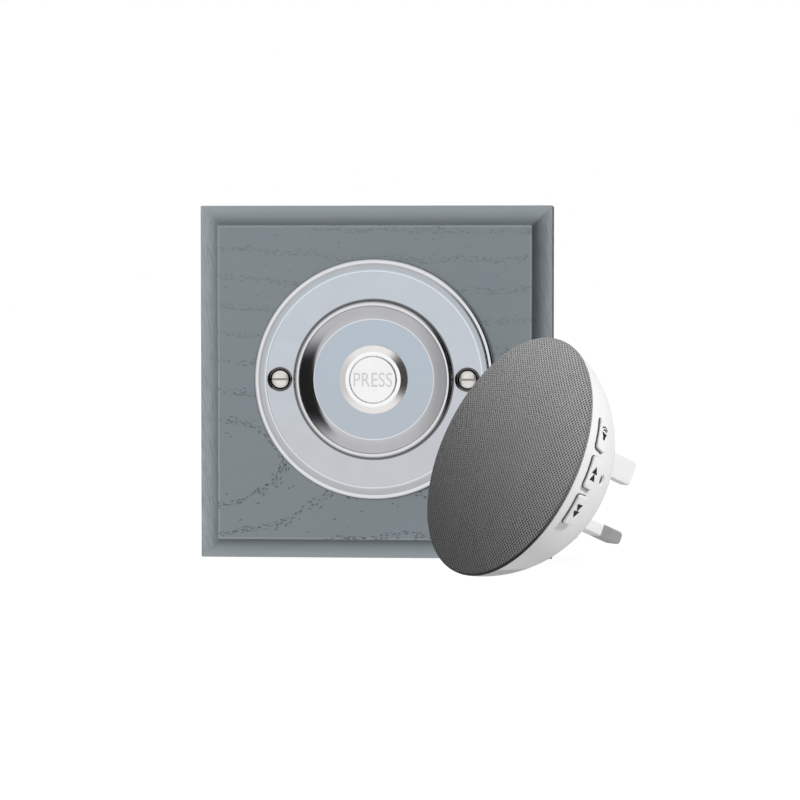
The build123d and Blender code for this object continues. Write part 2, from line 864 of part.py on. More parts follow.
def cone_line(drop):
    """Line of the paper cone from its cap to its edge, lowered by a drop."""
    edge = speaker_hole - fit_gap
    roll_outer = cone_ledge_inner + fit_gap
    roll_inner = roll_outer - cone_roll_width
    level = cone_paper - cone_ledge - drop
    crest = level + cone_roll_height
    neck = -cone_neck_depth - drop
    TangentArc((0, -cone_cap_depth - drop), (cone_neck_radius, neck), tangent=(1, 0))
    Line((cone_neck_radius, neck), (roll_inner, level))
    ThreePointArc((roll_inner, level), ((roll_inner + roll_outer) / 2, crest), (roll_outer, level))
    Line((roll_outer, level), (edge, level))
    return (edge, level)


with BuildPart() as speaker_cone:
    with BuildSketch(chime_section):
        with BuildLine():
            upper_edge = cone_line(0)
            lower_edge = cone_line(cone_paper)
            Line(upper_edge, lower_edge)
            Line((0, -cone_cap_depth), (0, -cone_cap_depth - cone_paper))
        make_face()
    revolve(axis=chime_axis)

with BuildPart() as speaker_magnet:
    with BuildSketch(chime_face.offset(-basket_depth)):
        Circle(magnet_radius)
    extrude(amount=-magnet_height)
    with BuildSketch(chime_face.offset(-basket_depth)):
        Circle(pole_radius)
    extrude(amount=pole_height)

# Keys: a cap that follows the bowl, a lip behind the wall and a stem over its switch
chime_keys = {}
for key_name, angle in key_angles.items():
    seat = bowl_seat(angle, key_depth)
    with BuildPart() as chime_key:
        with BuildSketch(seat.offset(-key_flange_top)):
            RectangleRounded(key_length, key_width, key_corner)
        extrude(amount=key_flange_top + 2 * key_proud)
        with Locations(ball_center):
            Sphere(bowl_radius + key_proud, mode=Mode.INTERSECT)
        fillet(chime_key.faces().sort_by(Axis(seat.origin, seat.z_dir))[-1].edges(), key_edge)
        with BuildSketch(seat.offset(-key_flange_under)):
            RectangleRounded(key_length, key_width + 2 * key_flange_lip, key_corner)
        extrude(amount=key_flange)
        with BuildSketch(seat.offset(-key_stem_end)):
            Circle(key_stem_radius)
        extrude(amount=key_stem_length)
    chime_keys[key_name] = chime_key

with BuildPart() as key_switches:
    for angle in key_angles.values():
        seat = bowl_seat(angle, key_depth)
        with BuildSketch(seat.offset(-switch_foot)):
            Rectangle(switch_body, switch_body)
        extrude(amount=switch_height)
        with BuildSketch(seat.offset(-switch_top)):
            Circle(switch_plunger_radius)
        extrude(amount=switch_plunger_height)

# Bent strip that carries the key switches, and the ribbon from it to the chime board
strip_slope = bowl_slope(key_depth)
strip_mid = Vector(strip_place * cos(strip_slope), bowl_center - strip_place * sin(strip_slope))
strip_along = Vector(sin(strip_slope), cos(strip_slope)) * strip_half_width
strip_through = Vector(-cos(strip_slope), sin(strip_slope)) * strip_thickness
strip_turn = 2 * strip_half_angle
with BuildPart() as key_strip:
    with BuildSketch(chime_section_at(key_group_angle - strip_half_angle)):
        with BuildLine():
            Polyline(
                strip_mid + strip_along,
                strip_mid - strip_along,
                strip_mid - strip_along + strip_through,
                strip_mid + strip_along + strip_through,
                close=True,
            )
        make_face()
    revolve(axis=chime_axis, revolution_arc=strip_turn)

ribbon_top = strip_mid - strip_along + strip_through * (1 + seat_gap / strip_thickness)
ribbon_foot = chime_board_radius - ribbon_foot_inset
with BuildPart() as key_ribbon:
    with BuildSketch(chime_section_at(key_group_angle)):
        with BuildLine():
            Polyline(
                (ribbon_top.X, ribbon_top.Y),
                (ribbon_foot, -chime_board_front),
                (ribbon_foot - ribbon_thickness, -chime_board_front),
                (ribbon_top.X - ribbon_thickness, ribbon_top.Y),
                close=True,
            )
        make_face()
    extrude(amount=ribbon_width / 2, both=True)

status_seat = bowl_seat(key_group_angle, status_depth)
with BuildPart() as status_light:
    with BuildSketch(status_seat.offset(-status_recess)):
        Circle(status_radius)
    extrude(amount=-status_length)
    with BuildSketch(status_seat.offset(-status_recess - status_length)):
        Circle(status_radius + status_collar)
    extrude(amount=status_length - shell_wall)

# Plug base: the rear of the bowl, with a lip into the shell, posts for the board and pin openings
with BuildPart() as plug_base:
    with BuildSketch(chime_section):
        with BuildLine():
            bowl_arc(split_depth, body_depth)
            Polyline((bowl_radius_at(body_depth), -body_depth), (0, -body_depth), (0, -floor_depth))
            Line((0, -floor_depth), (bowl_radius_at(floor_depth, shell_wall), -floor_depth))
            bowl_arc(floor_depth, lip_root, shell_wall)
            Polyline(
                (lip_inner, -lip_root),
                (lip_inner, lip_height - split_depth),
                (lip_radius, lip_height - split_depth),
                (lip_radius, -split_depth),
                (bowl_radius_at(split_depth), -split_depth),
            )
        make_face()
    revolve(axis=chime_axis)
    fillet(plug_base.faces().sort_by(chime_axis)[0].edges(), plug_edge)
    with BuildSketch(plug_floor):
        with PolarLocations(post_circle, post_count, post_angle):
            Circle(post_radius)
            Circle(board_screw_radius + fit_gap, mode=Mode.SUBTRACT)
    extrude(amount=post_height)
    with BuildSketch(plug_face):
        with Locations((pin_place, -pin_place), (-pin_place, -pin_place)):
            Rectangle(pin_width + 2 * seat_gap, pin_thickness + 2 * seat_gap)
        with Locations((0, pin_place)):
            Rectangle(earth_width + 2 * seat_gap, earth_height + 2 * seat_gap)
    extrude(amount=plug_wall, mode=Mode.SUBTRACT)


def mains_pin(side):
    """Brass pin with a waist for its sleeve, a collar inside the base and a tail to the board."""
    place = (side * pin_place, -pin_place)
    with BuildPart() as pin:
        with BuildSketch(plug_floor):
            with Locations(place):
                RectangleRounded(pin_width + 2 * pin_collar, pin_thickness + 2 * pin_collar, pin_corner)
        extrude(amount=pin_collar_height)
        with BuildSketch(plug_floor):
            with Locations(place):
                Rectangle(pin_tail_width, pin_tail_thickness)
        extrude(amount=post_height)
        with BuildSketch(plug_floor):
            with Locations(place):
                RectangleRounded(pin_width, pin_thickness, pin_corner)
        extrude(amount=-plug_wall)
        with BuildSketch(plug_face):
            with Locations(place):
                Rectangle(pin_width - 2 * sleeve_wall, pin_thickness - 2 * sleeve_wall)
        extrude(amount=-sleeve_length)
        with BuildSketch(plug_face.offset(-sleeve_length)):
            with Locations(place):
                RectangleRounded(pin_width, pin_thickness, pin_corner)
        extrude(amount=sleeve_length - pin_length)
        fillet(pin.faces().sort_by(chime_axis)[0].edges(), pin_tip)
    return pin


live_pin = mains_pin(1)
neutral_pin = mains_pin(-1)

with BuildPart() as pin_sleeves:
    with BuildSketch(plug_face):
        with Locations((pin_place, -pin_place), (-pin_place, -pin_place)):
            RectangleRounded(pin_width, pin_thickness, pin_corner)
            Rectangle(
                pin_width - 2 * sleeve_wall + 2 * seat_gap,
                pin_thickness - 2 * sleeve_wall + 2 * seat_gap,
                mode=Mode.SUBTRACT,
            )
    extrude(amount=-sleeve_length)

with BuildPart() as earth_pin:
    with BuildSketch(plug_floor):
        with Locations((0, pin_place)):
            RectangleRounded(earth_width + 2 * pin_collar, earth_height + 2 * pin_collar, pin_corner)
    extrude(amount=pin_collar_height)
    with BuildSketch(plug_floor):
        with Locations((0, pin_place)):
            RectangleRounded(earth_width, earth_height, pin_corner)
    extrude(amount=-plug_wall - earth_length)
    fillet(earth_pin.faces().sort_by(chime_axis)[0].edges(), pin_tip)

# Chime board on the base's posts, and what it carries
with BuildPart() as chime_board:
    with BuildSketch(chime_face.offset(-chime_board_back)):
        Circle(chime_board_radius)
        with PolarLocations(post_circle, post_count, post_angle):
            Circle(board_screw_radius + sliding_gap, mode=Mode.SUBTRACT)
    extrude(amount=board_thickness)

with BuildPart() as chime_board_screws:
    with BuildSketch(chime_board_plane):
        with PolarLocations(post_circle, post_count, post_angle):
            Circle(board_screw_head)
    extrude(amount=board_screw_head_height)
    with BuildSketch(chime_board_plane):
        with PolarLocations(post_circle, post_count, post_angle):
            Circle(board_screw_radius)
    extrude(amount=-board_thickness - post_height + fit_gap)

with BuildPart() as mains_transformer:
    with BuildSketch(chime_board_plane):
        with PolarLocations(chime_board_radius - transformer_inset, 1, transformer_angle):
            Rectangle(transformer_size, winding_size)
    extrude(amount=transformer_height)
    with BuildSketch(chime_board_plane):
        with PolarLocations(chime_board_radius - transformer_inset, 1, transformer_angle):
            RectangleRounded(winding_size, transformer_size + 2 * winding_overhang, winding_corner)
    extrude(amount=transformer_height - winding_drop)

with BuildPart() as smoothing_capacitor:
    with BuildSketch(chime_board_plane):
        with PolarLocations(chime_board_radius - capacitor_inset, 1, capacitor_angle):
            Circle(capacitor_radius)
    extrude(amount=capacitor_height)

with BuildPart() as chime_chips:
    with BuildSketch(chime_board_plane):
        with PolarLocations(chime_board_radius - sound_chip_inset, 1, sound_chip_angle):
            Rectangle(sound_chip_size, sound_chip_size)
        with PolarLocations(chime_board_radius - radio_chip_inset, 1, radio_chip_angle):
            Rectangle(radio_chip_size, radio_chip_size)
    extrude(amount=chime_chip_height)

speaker_lead_place = speaker_radius - lead_radius - fit_gap
with BuildPart() as speaker_leads:
    with BuildSketch(chime_board_plane):
        with Locations((0, speaker_lead_place)):
            with GridLocations(speaker_lead_spacing, 0, 2, 1):
                Circle(lead_radius)
    extrude(amount=chime_board_front - flange_back)

pieces = {
    "plinth": plinth,
    "push_plate": push_plate,
    "flange_screws": flange_screws,
    "switch_barrel": switch_barrel,
    "barrel_gasket": barrel_gasket,
    "barrel_nut": barrel_nut,
    "press_button": press_button,
    "contact_plate": contact_plate,
    "button_spring": button_spring,
    "contact_block": contact_block,
    "switch_terminals": switch_terminals,
    "switch_lead_left": switch_lead_left,
    "switch_lead_right": switch_lead_right,
    "transmitter_board": transmitter_board,
    "board_screws": board_screws,
    "board_chips": board_chips,
    "cell_holder": cell_holder,
    "coin_cell": coin_cell,
    "cell_clip": cell_clip,
    "back_cover": back_cover,
    "cover_screws": cover_screws,
    "chime_shell": chime_shell,
    "grille_cloth": grille_cloth,
    "grille_frame": grille_frame,
    "speaker_frame": speaker_frame,
    "speaker_cone": speaker_cone,
    "speaker_magnet": speaker_magnet,
    **chime_keys,
    "key_switches": key_switches,
    "key_strip": key_strip,
    "key_ribbon": key_ribbon,
    "status_light": status_light,
    "plug_base": plug_base,
    "live_pin": live_pin,
    "neutral_pin": neutral_pin,
    "pin_sleeves": pin_sleeves,
    "earth_pin": earth_pin,
    "chime_board": chime_board,
    "chime_board_screws": chime_board_screws,
    "mains_transformer": mains_transformer,
    "smoothing_capacitor": smoothing_capacitor,
    "chime_chips": chime_chips,
    "speaker_leads": speaker_leads,
}
os.makedirs("parts", exist_ok=True)
for name, piece in pieces.items():
    piece.part.label = name
    export_step(piece.part, f"parts/{name}.step")
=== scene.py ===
"""Wireless doorbell: a bell push on a painted plinth, and the plug-in chime that it rings."""
import json
from math import asin, atan2, ceil, cos, pi, radians, sin, sqrt, tan

import bmesh
import bpy
from bpy.props import FloatProperty, FloatVectorProperty, IntProperty, PointerProperty, StringProperty
from bpy.types import Operator, Panel, PropertyGroup
from mathutils import Matrix, Vector

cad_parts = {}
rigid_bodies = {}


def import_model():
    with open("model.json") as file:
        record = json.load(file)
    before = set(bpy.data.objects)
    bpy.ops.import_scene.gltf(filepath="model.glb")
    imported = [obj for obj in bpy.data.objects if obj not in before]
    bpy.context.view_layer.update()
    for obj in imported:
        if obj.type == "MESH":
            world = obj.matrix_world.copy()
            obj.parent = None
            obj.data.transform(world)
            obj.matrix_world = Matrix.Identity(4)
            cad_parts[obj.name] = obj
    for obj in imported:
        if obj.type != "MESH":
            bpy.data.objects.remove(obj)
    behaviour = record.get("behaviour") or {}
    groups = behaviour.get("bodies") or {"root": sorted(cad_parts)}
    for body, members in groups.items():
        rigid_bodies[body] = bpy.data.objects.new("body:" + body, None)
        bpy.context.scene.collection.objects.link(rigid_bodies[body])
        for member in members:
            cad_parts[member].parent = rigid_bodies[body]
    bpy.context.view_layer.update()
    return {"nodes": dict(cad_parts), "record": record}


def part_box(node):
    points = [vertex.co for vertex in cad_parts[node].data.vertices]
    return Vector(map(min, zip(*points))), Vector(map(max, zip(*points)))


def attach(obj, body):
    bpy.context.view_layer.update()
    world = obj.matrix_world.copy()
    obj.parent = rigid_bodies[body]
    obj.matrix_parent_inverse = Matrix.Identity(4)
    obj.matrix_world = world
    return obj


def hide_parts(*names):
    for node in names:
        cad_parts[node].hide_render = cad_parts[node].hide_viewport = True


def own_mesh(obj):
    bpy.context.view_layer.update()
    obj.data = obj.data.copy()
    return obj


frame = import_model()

bl_info = {
    "name": "Wireless Doorbell",
    "version": (1, 0, 0),
    "blender": (4, 5, 0),
    "location": "View3D > Sidebar > Doorbell",
    "description": "Dresses a bell push on a wooden plinth and its plug-in chime",
    "category": "Object",
}

# What the frame gives: the box of the solids, the push's middle and the chime's axis
MILLIMETRES = 1000.0
MOUNTS = {mount["name"]: mount for mount in frame["record"]["mounts"]}
PLINTH_LOW, PLINTH_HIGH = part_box("plinth")
FACE_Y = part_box("push_plate")[1].y
PUSH_CENTER = Vector((0, FACE_Y, MOUNTS["wall_screws"]["pos_m"][2]))
PLUG_CENTER = Vector(MOUNTS["mains_plug"]["pos_m"])
CHIME_FRONT = -Vector(MOUNTS["mains_plug"]["axis"])
CHIME_RIGHT = Vector((0, 0, 1)).cross(CHIME_FRONT).normalized()
CHIME_UP = CHIME_FRONT.cross(CHIME_RIGHT)

# How finely round shapes are made, and the white of the stage
TURN_STEPS = 160
FINE_STEPS = 240
SCREW_STEPS = 64
SMALL_STEPS = 48
FILLET_STEP = radians(18)
POLE = 1e-7
FINE_FILLET = 0.0001
SMOOTH_ANGLE = 32.0
WHITE = (1, 1, 1, 1)


def length(label, default, about):
    """Property for a length in metres."""
    return FloatProperty(name=label, description=about, default=default, subtype="DISTANCE", unit="LENGTH")


def share(label, default, about):
    """Property for a plain number."""
    return FloatProperty(name=label, description=about, default=default)


def turn(label, default, about):
    """Property for an angle, with its default in degrees."""
    return FloatProperty(
        name=label, description=about, default=radians(default), subtype="ANGLE", unit="ROTATION"
    )


def tint(label, default, about):
    """Property for a linear colour."""
    return FloatVectorProperty(
        name=label, description=about, default=default, size=3, min=0.0, max=1.0, subtype="COLOR"
    )


def spot(label, default, about):
    """Property for a place in metres."""
    return FloatVectorProperty(
        name=label, description=about, default=default, subtype="TRANSLATION", unit="LENGTH"
    )


class PlinthSettings(PropertyGroup):
    """Sizes and paint of the wooden plinth."""

    moulding_width: length("Moulding width", 0.0063, "Width of the cove along the front edges")
    moulding_drop: length("Moulding drop", 0.007, "Fall from the face to the plinth's front edge")
    quirk_drop: length("Quirk drop", 0.0012, "Step between the face and the cove")
    cove_sag: length("Cove sag", 0.0015, "Hollow of the cove")
    arris: length("Arris", 0.0003, "Rounding of the worked edges")
    corner: length("Corner", 0.0004, "Rounding of the four upright corners")
    wire_bore: length("Wire bore", 0.017, "Radius of the bore behind the push")
    recess_width: length("Recess width", 0.06, "Width of the transmitter's recess")
    recess_height: length("Recess height", 0.05, "Height of the transmitter's recess")
    recess_depth: length("Recess depth", 0.0095, "Depth of the transmitter's recess")
    recess_corner: length("Recess corner", 0.003, "Corner radius of the recess and rebate")
    rebate_depth: length("Rebate depth", 0.0022, "Depth of the rebate for the back cover")
    rebate_gap: length("Rebate gap", 0.00025, "Gap round the back cover")
    wall_hole: length("Wall hole", 0.00225, "Radius of the wall screw holes")
    wall_sink: length("Wall sink", 0.0042, "Radius of their countersinks")
    pilot: length("Pilot", 0.0016, "Radius of the holes for the plate's screws")
    paint: tint("Paint", (0.231, 0.265, 0.283), "Grey-blue satin paint")
    # The pore colour is also laid on as painted shade in the quirk of the cove.
    pore_and_shade: tint("Pore", (0.100, 0.118, 0.129), "Paint in the open pores")
    # Painted highlight: this pale paint lightens the outer cove and a line along the face's arris, standing
    # in for light.
    highlit: tint("Rubbed", (0.420, 0.455, 0.475), "Paint rubbed along the outer edges")
    ring_spacing: length("Ring spacing", 0.0089, "Distance between growth rings on the face")
    first_ring: length("First ring", 0.0043, "Distance of the first growth ring from the heart")
    ring_slope: share("Ring slope", 0.517, "How fast the rings dive under the face")
    ring_level: length("Ring level", 0.0218, "Depth at which the rings run level with the face")
    heart: spot("Heart", (-0.0555, FACE_Y, 0.031), "Place from which the growth rings spread")


class PushSettings(PropertyGroup):
    """Sizes and metals of the push plate, its screws and its switch."""

    plate_radius: length("Plate radius", 0.038, "Outer radius of the plate")
    bead_width: length("Bead width", 0.0019, "Width of the outer bead")
    ovolo_width: length("Ovolo width", 0.0022, "Width of the quarter round inside the bead")
    ring_width: length("Ring width", 0.0086, "Width of the flat ring")
    rim_width: length("Rim width", 0.0022, "Width of the raised rim")
    slope_width: length("Slope width", 0.0041, "Width of the slope into the dish")
    plate_edge: length("Plate edge", 0.001, "Height of the plate's outer edge")
    bead_foot: length("Bead foot", 0.0015, "Height of the groove behind the bead")
    bead_crest: length("Bead crest", 0.00175, "Height of the bead")
    ovolo_height: length("Ovolo height", 0.003, "Height of the quarter round")
    ring_height: length("Ring height", 0.0027, "Height of the flat ring")
    rim_shoulder: length("Rim shoulder", 0.0052, "Height at which the rim rounds over")
    rim_height: length("Rim height", 0.006, "Height of the rim")
    dish_height: length("Dish height", 0.0024, "Height of the dish's floor")
    rim_nose: length("Rim nose", 0.0004, "Distance of the rim's crest from the dish's slope")
    plate_wall: length("Plate wall", 0.0016, "Thickness of the plate")
    pad_radius: length("Pad radius", 0.005, "Radius of the pads under the screws")
    sink_radius: length("Sink radius", 0.0039, "Radius of the plate's countersinks")
    screw_hole: length("Screw hole", 0.0018, "Radius of the plate's screw holes")
    head_radius: length("Head radius", 0.0027, "Radius of the screw heads")
    head_rise: length("Head rise", 0.0007, "Rise of the domed screw heads")
    shank_radius: length("Shank radius", 0.0015, "Radius of the screw shanks")
    screw_reach: length("Screw reach", 0.012, "How far the screws go into the wood")
    slot_width: length("Slot width", 0.0007, "Width of the screw slots")
    slot_depth: length("Slot depth", 0.0008, "Depth of the screw slots")
    cover_head: length("Cover head", 0.0025, "Head radius of the back cover's screws")
    cover_shank: length("Cover shank", 0.0011, "Shank radius of the back cover's screws")
    cover_reach: length("Cover reach", 0.009, "Length of the back cover's screws")
    bezel_radius: length("Bezel radius", 0.0108, "Outer radius of the switch bezel")
    bezel_flat: length("Bezel flat", 0.0087, "Radius where the bezel's bevel starts")
    bezel_top: length("Bezel top", 0.0048, "Height of the bezel's flat")
    bezel_edge: length("Bezel edge", 0.0035, "Height of the bevel's foot")
    bezel_seat: length("Bezel seat", 0.0029, "Height of the bezel's underside")
    barrel_radius: length("Barrel radius", 0.0095, "Radius of the barrel behind the bezel")
    barrel_bore: length("Barrel bore", 0.0086, "Bore of the barrel")
    barrel_end: length("Barrel end", -0.007, "Height of the barrel's rear end")
    lip_under: length("Lip under", 0.0028, "Height of the underside of the barrel's lip")
    button_bore: length("Button bore", 0.0075, "Bore of the lip round the button")
    button_radius: length("Button radius", 0.00725, "Radius of the button")
    button_top: length("Button top", 0.0052, "Height of the button's face")
    button_edge: length("Button edge", 0.0003, "Rounding of the button's edge")
    flange_radius: length("Flange radius", 0.0083, "Radius of the button's flange")
    flange_top: length("Flange top", 0.0027, "Height of the flange's upper side")
    flange_under: length("Flange under", 0.0015, "Height of the flange's lower side")
    stem_radius: length("Stem radius", 0.003, "Radius of the button's stem")
    stem_end: length("Stem end", -0.0036, "Height of the stem's end")
    spring_radius: length("Spring radius", 0.0062, "Radius of the return spring")
    spring_wire: length("Spring wire", 0.0006, "Wire diameter of the return spring")
    spring_turns: share("Spring turns", 3.5, "Turns of the return spring")
    word: StringProperty(name="Word", description="Plain word on the button", default="PRESS")
    word_width: length("Word width", 0.0121, "Width of the word")
    word_height: length("Word height", 0.0045, "Height of the word's capitals")
    word_depth: length("Word depth", 0.00003, "How far the word stands on the face")
    chrome: tint("Chrome", (0.575, 0.585, 0.605), "Polished chrome")
    dish_chrome: tint("Dish chrome", (0.485, 0.520, 0.560), "Chrome of the dish's floor")
    # Painted highlight: bright chrome laid in thin rings on the plate's crests and edges.
    highlighted: tint("Buffed", (0.930, 0.935, 0.945), "Chrome of the buffed edges")
    dish_line: length("Dish line", 0.0003, "Bright line round the dish's floor")
    # Painted shade: dark metal in a ring at the foot of the boss.
    foot_shade: tint("Foot grey", (0.040, 0.040, 0.042), "Dull metal at the boss's foot")
    # Painted shade: grey metal in the countersinks and in the hollow of the quarter round.
    hollow_shade: tint("Sink grey", (0.130, 0.130, 0.132), "Dull metal of the countersinks")
    steel: tint("Steel", (0.995, 0.982, 0.965), "Turned bright steel of the switch")
    nickel: tint("Nickel", (0.860, 0.845, 0.800), "Nickel of the screws")
    # Painted shade: dark metal in the screw slots.
    slot_shade: tint("Slot grey", (0.300, 0.285, 0.250), "Dull metal in the screw slots")
    word_grey: tint("Word grey", (0.700, 0.700, 0.705), "Grey of the word")


class ChimeSettings(PropertyGroup):
    """Sizes and finishes of the plug-in chime."""

    bowl_radius: length("Bowl radius", 0.0397, "Radius of the ball-shaped bowl")
    plug_face: length("Plug face", 0.0232, "Radius of the flat face with the pins")
    body_depth: length("Body depth", 0.022, "Depth from the rim to the plug face")
    split_depth: length("Split depth", 0.016, "Depth of the parting line")
    split_groove: length("Split groove", 0.00022, "Chamfer each side of the parting line")
    shell_wall: length("Wall", 0.002, "Thickness of the bowl")
    dome_height: length("Dome height", 0.0045, "Rise of the cloth over the rim")
    cloth_edge: length("Cloth edge", 0.0008, "Upright edge of the cloth")
    cloth_thickness: length("Cloth thickness", 0.0005, "Thickness of the cloth")
    weave_pitch: length("Weave pitch", 0.00092, "Distance between threads")
    # Also laid on as painted shade where the cloth folds over the rim.
    cloth_gap_and_shade: tint("Cloth dark", (0.012, 0.012, 0.013), "Gaps of the cloth")
    cloth_light: tint("Cloth light", (0.150, 0.150, 0.151), "Threads of the cloth")
    white: tint("White", (0.830, 0.830, 0.835), "White moulded plastic")
    ink: tint("Ink", (0.025, 0.025, 0.027), "Dark ink of the key signs")
    key_group: turn("Key group", -1.6, "Angle of the middle key")
    key_pitch: turn("Key pitch", 18.7, "Angle between the keys")
    key_depth: length("Key depth", 0.006, "Depth of the keys behind the rim")
    key_length: length("Key length", 0.0097, "Length of a key round the bowl")
    key_width: length("Key width", 0.005, "Width of a key")
    key_corner: length("Key corner", 0.001, "Corner radius of a key")
    key_proud: length("Key proud", 0.001, "How far a key stands out of the bowl")
    key_edge: length("Key edge", 0.00035, "Rounding of a key's edge")
    key_gap: length("Key gap", 0.00025, "Gap round a key")
    key_lip: length("Key lip", 0.0006, "Lip of a key behind the wall")
    flange_top: length("Key flange top", 0.00275, "Depth of the upper side of a key's lip")
    flange_under: length("Key flange under", 0.00375, "Depth of the lower side of a key's lip")
    stem_end: length("Key stem end", 0.0046, "Depth of a key's stem")
    stem_radius: length("Key stem radius", 0.0015, "Radius of a key's stem")
    sign_size: length("Sign size", 0.0028, "Height of a key's sign")
    sign_rise: length("Sign rise", 0.00004, "How far a sign stands on its key")
    status_depth: length("Status depth", 0.0129, "Depth of the status light behind the rim")
    status_radius: length("Status radius", 0.0012, "Radius of the status light")
    status_flare: length("Status flare", 0.0005, "Flare of the recess round the status light")
    status_recess: length("Status recess", 0.0006, "Depth of the status light in its recess")
    status_length: length("Status length", 0.0044, "Length of the status light")
    plug_edge: length("Plug edge", 0.0012, "Rounding of the plug face")
    plug_wall: length("Plug wall", 0.002, "Thickness of the plug face")
    lip_height: length("Lip height", 0.0022, "Height of the base's lip inside the shell")
    lip_wall: length("Lip wall", 0.0011, "Thickness of the base's lip")
    post_radius: length("Post radius", 0.0023, "Radius of the board's posts")
    post_height: length("Post height", 0.0044, "Height of the board's posts")
    post_circle: length("Post circle", 0.019, "Radius of the ring of posts")
    post_bore: length("Post bore", 0.00105, "Bore of the board's posts")
    post_count: IntProperty(name="Post count", description="Number of posts", default=3, min=1)
    post_angle: turn("Post angle", 30.0, "Angle of the first post")
    pin_spacing: length("Pin spacing", 0.022225, "Distance between the pins")
    pin_width: length("Pin width", 0.00635, "Width of a power pin")
    pin_thickness: length("Pin thickness", 0.003975, "Thickness of a power pin")
    pin_length: length("Pin length", 0.0177, "Length of a power pin")
    pin_corner: length("Pin corner", 0.0006, "Corner radius of a pin")
    pin_tip: length("Pin tip", 0.0018, "Rounding of a pin's end")
    pin_collar: length("Pin collar", 0.0006, "Collar of a pin inside the base")
    collar_height: length("Collar height", 0.0015, "Height of that collar")
    tail_width: length("Tail width", 0.0025, "Width of a pin's tail")
    tail_thickness: length("Tail thickness", 0.001, "Thickness of a pin's tail")
    sleeve_length: length("Sleeve length", 0.0093, "Length of a pin's sleeve")
    sleeve_wall: length("Sleeve wall", 0.00055, "Thickness of a pin's sleeve")
    earth_width: length("Earth width", 0.003975, "Width of the earth pin")
    earth_height: length("Earth height", 0.007925, "Height of the earth pin")
    earth_length: length("Earth length", 0.02273, "Length of the earth pin")
    seat_gap: length("Fit gap", 0.00005, "Gap round a seated piece")


class StageSettings(PropertyGroup):
    """Camera, lamps and floor."""

    azimuth: turn("Azimuth", 4.2, "Turn of the camera to the right")
    elevation: turn("Elevation", 2.5, "Height of the camera over the horizon")
    distance: length("Distance", 1.0, "Distance from the camera to its aim")
    lens: share("Lens", 142.2, "Focal length in millimetres on a 36 mm sensor")
    aim: spot("Aim", (0.0079, -0.012, 0.0505), "Point in the middle of the picture")
    key_place: spot("Key place", (-0.40, -1.10, 0.06), "Place of the large lamp at the front left")
    key_size: length("Key size", 0.7, "Side of that lamp")
    key_power: share("Key power", 13.0, "Power in watts of that lamp")
    cloth_place: spot("Cloth place", (0.50, -0.36, 0.62), "Place of the lamp that grazes the cloth")
    cloth_size: length("Cloth size", 0.35, "Side of that lamp")
    cloth_power: share("Cloth power", 46.0, "Power in watts of that lamp")
    body_place: spot("Body place", (0.70, -0.18, 0.42), "Place of the lamp beside the chime's body")
    body_size: length("Body size", 0.08, "Side of that lamp")
    body_power: share("Body power", 5.5, "Power in watts of that lamp")
    under_level: length("Under level", 0.003, "Height of the low lamp under the chime's body")
    under_size: length("Under size", 0.3, "Side of that lamp")
    under_power: share("Under power", 0.066, "Power in watts of that lamp")
    sky: share("Sky", 0.40, "Brightness of the surroundings on matt surfaces")
    floor_size: length("Floor size", 6.0, "Side of the floor")
    shadow: share("Shadow", 0.4, "How much of its shadow the floor keeps")
    glow: share("Glow", 1.47, "Brightness of the lit table for the camera")
    table: share("Table", 0.42, "Light of the lit table on matt surfaces")


def settings(name):
    """One of the scene's groups of settings."""
    return getattr(bpy.context.scene, f"doorbell_{name}")


# Frames of the push, the chime and the seats on the bowl


def axes_matrix(origin, x_axis, y_axis, z_axis):
    """Matrix that takes local coordinates to a place with these axes."""
    columns = [axis.to_4d() for axis in (x_axis, y_axis, z_axis)]
    for column in columns:
        column.w = 0
    return Matrix((*columns, origin.to_4d())).transposed()


def push_matrix():
    """Frame of the push: X to the right, Y up, Z out of the plinth's face."""
    return axes_matrix(PUSH_CENTER, Vector((1, 0, 0)), Vector((0, 0, 1)), Vector((0, -1, 0)))


def chime_matrix():
    """Frame of the chime: origin in the rim's middle, Z out of the cloth."""
    origin = PLUG_CENTER + CHIME_FRONT * settings("chime").body_depth
    return axes_matrix(origin, CHIME_RIGHT, CHIME_UP, CHIME_FRONT)


def ball_offset():
    """Distance of the ball's middle in front of the rim."""
    chime = settings("chime")
    return sqrt(chime.bowl_radius**2 - chime.plug_face**2) - chime.body_depth


def bowl_at(depth, inset=0.0):
    """Radius of the bowl, or of a ball inset from it, at a depth behind the rim."""
    return sqrt((settings("chime").bowl_radius - inset) ** 2 - (ball_offset() + depth) ** 2)


def bowl_line(start, end, inset=0.0, steps=24):
    """Points of the bowl's section between two depths."""
    depths = [start + (end - start) * step / steps for step in range(steps + 1)]
    return [(bowl_at(depth, inset), -depth) for depth in depths]


def moved(matrix, x=0.0, y=0.0, z=0.0):
    """Frame that is shifted along its own axes."""
    return matrix @ Matrix.Translation((x, y, z))


def ball_middle():
    """Middle of the ball that the bowl is cut from."""
    return chime_matrix() @ Vector((0, 0, ball_offset()))


def seat_matrix(angle, depth):
    """Seat on the bowl: X round it and upwards, Y to the rim, Z along its normal."""
    slope = asin((ball_offset() + depth) / settings("chime").bowl_radius)
    out = CHIME_RIGHT * cos(angle) + CHIME_UP * sin(angle)
    along = CHIME_UP * cos(angle) - CHIME_RIGHT * sin(angle)
    normal = out * cos(slope) - CHIME_FRONT * sin(slope)
    origin = ball_middle() + normal * settings("chime").bowl_radius
    return axes_matrix(origin, along, normal.cross(along), normal)


# Outlines


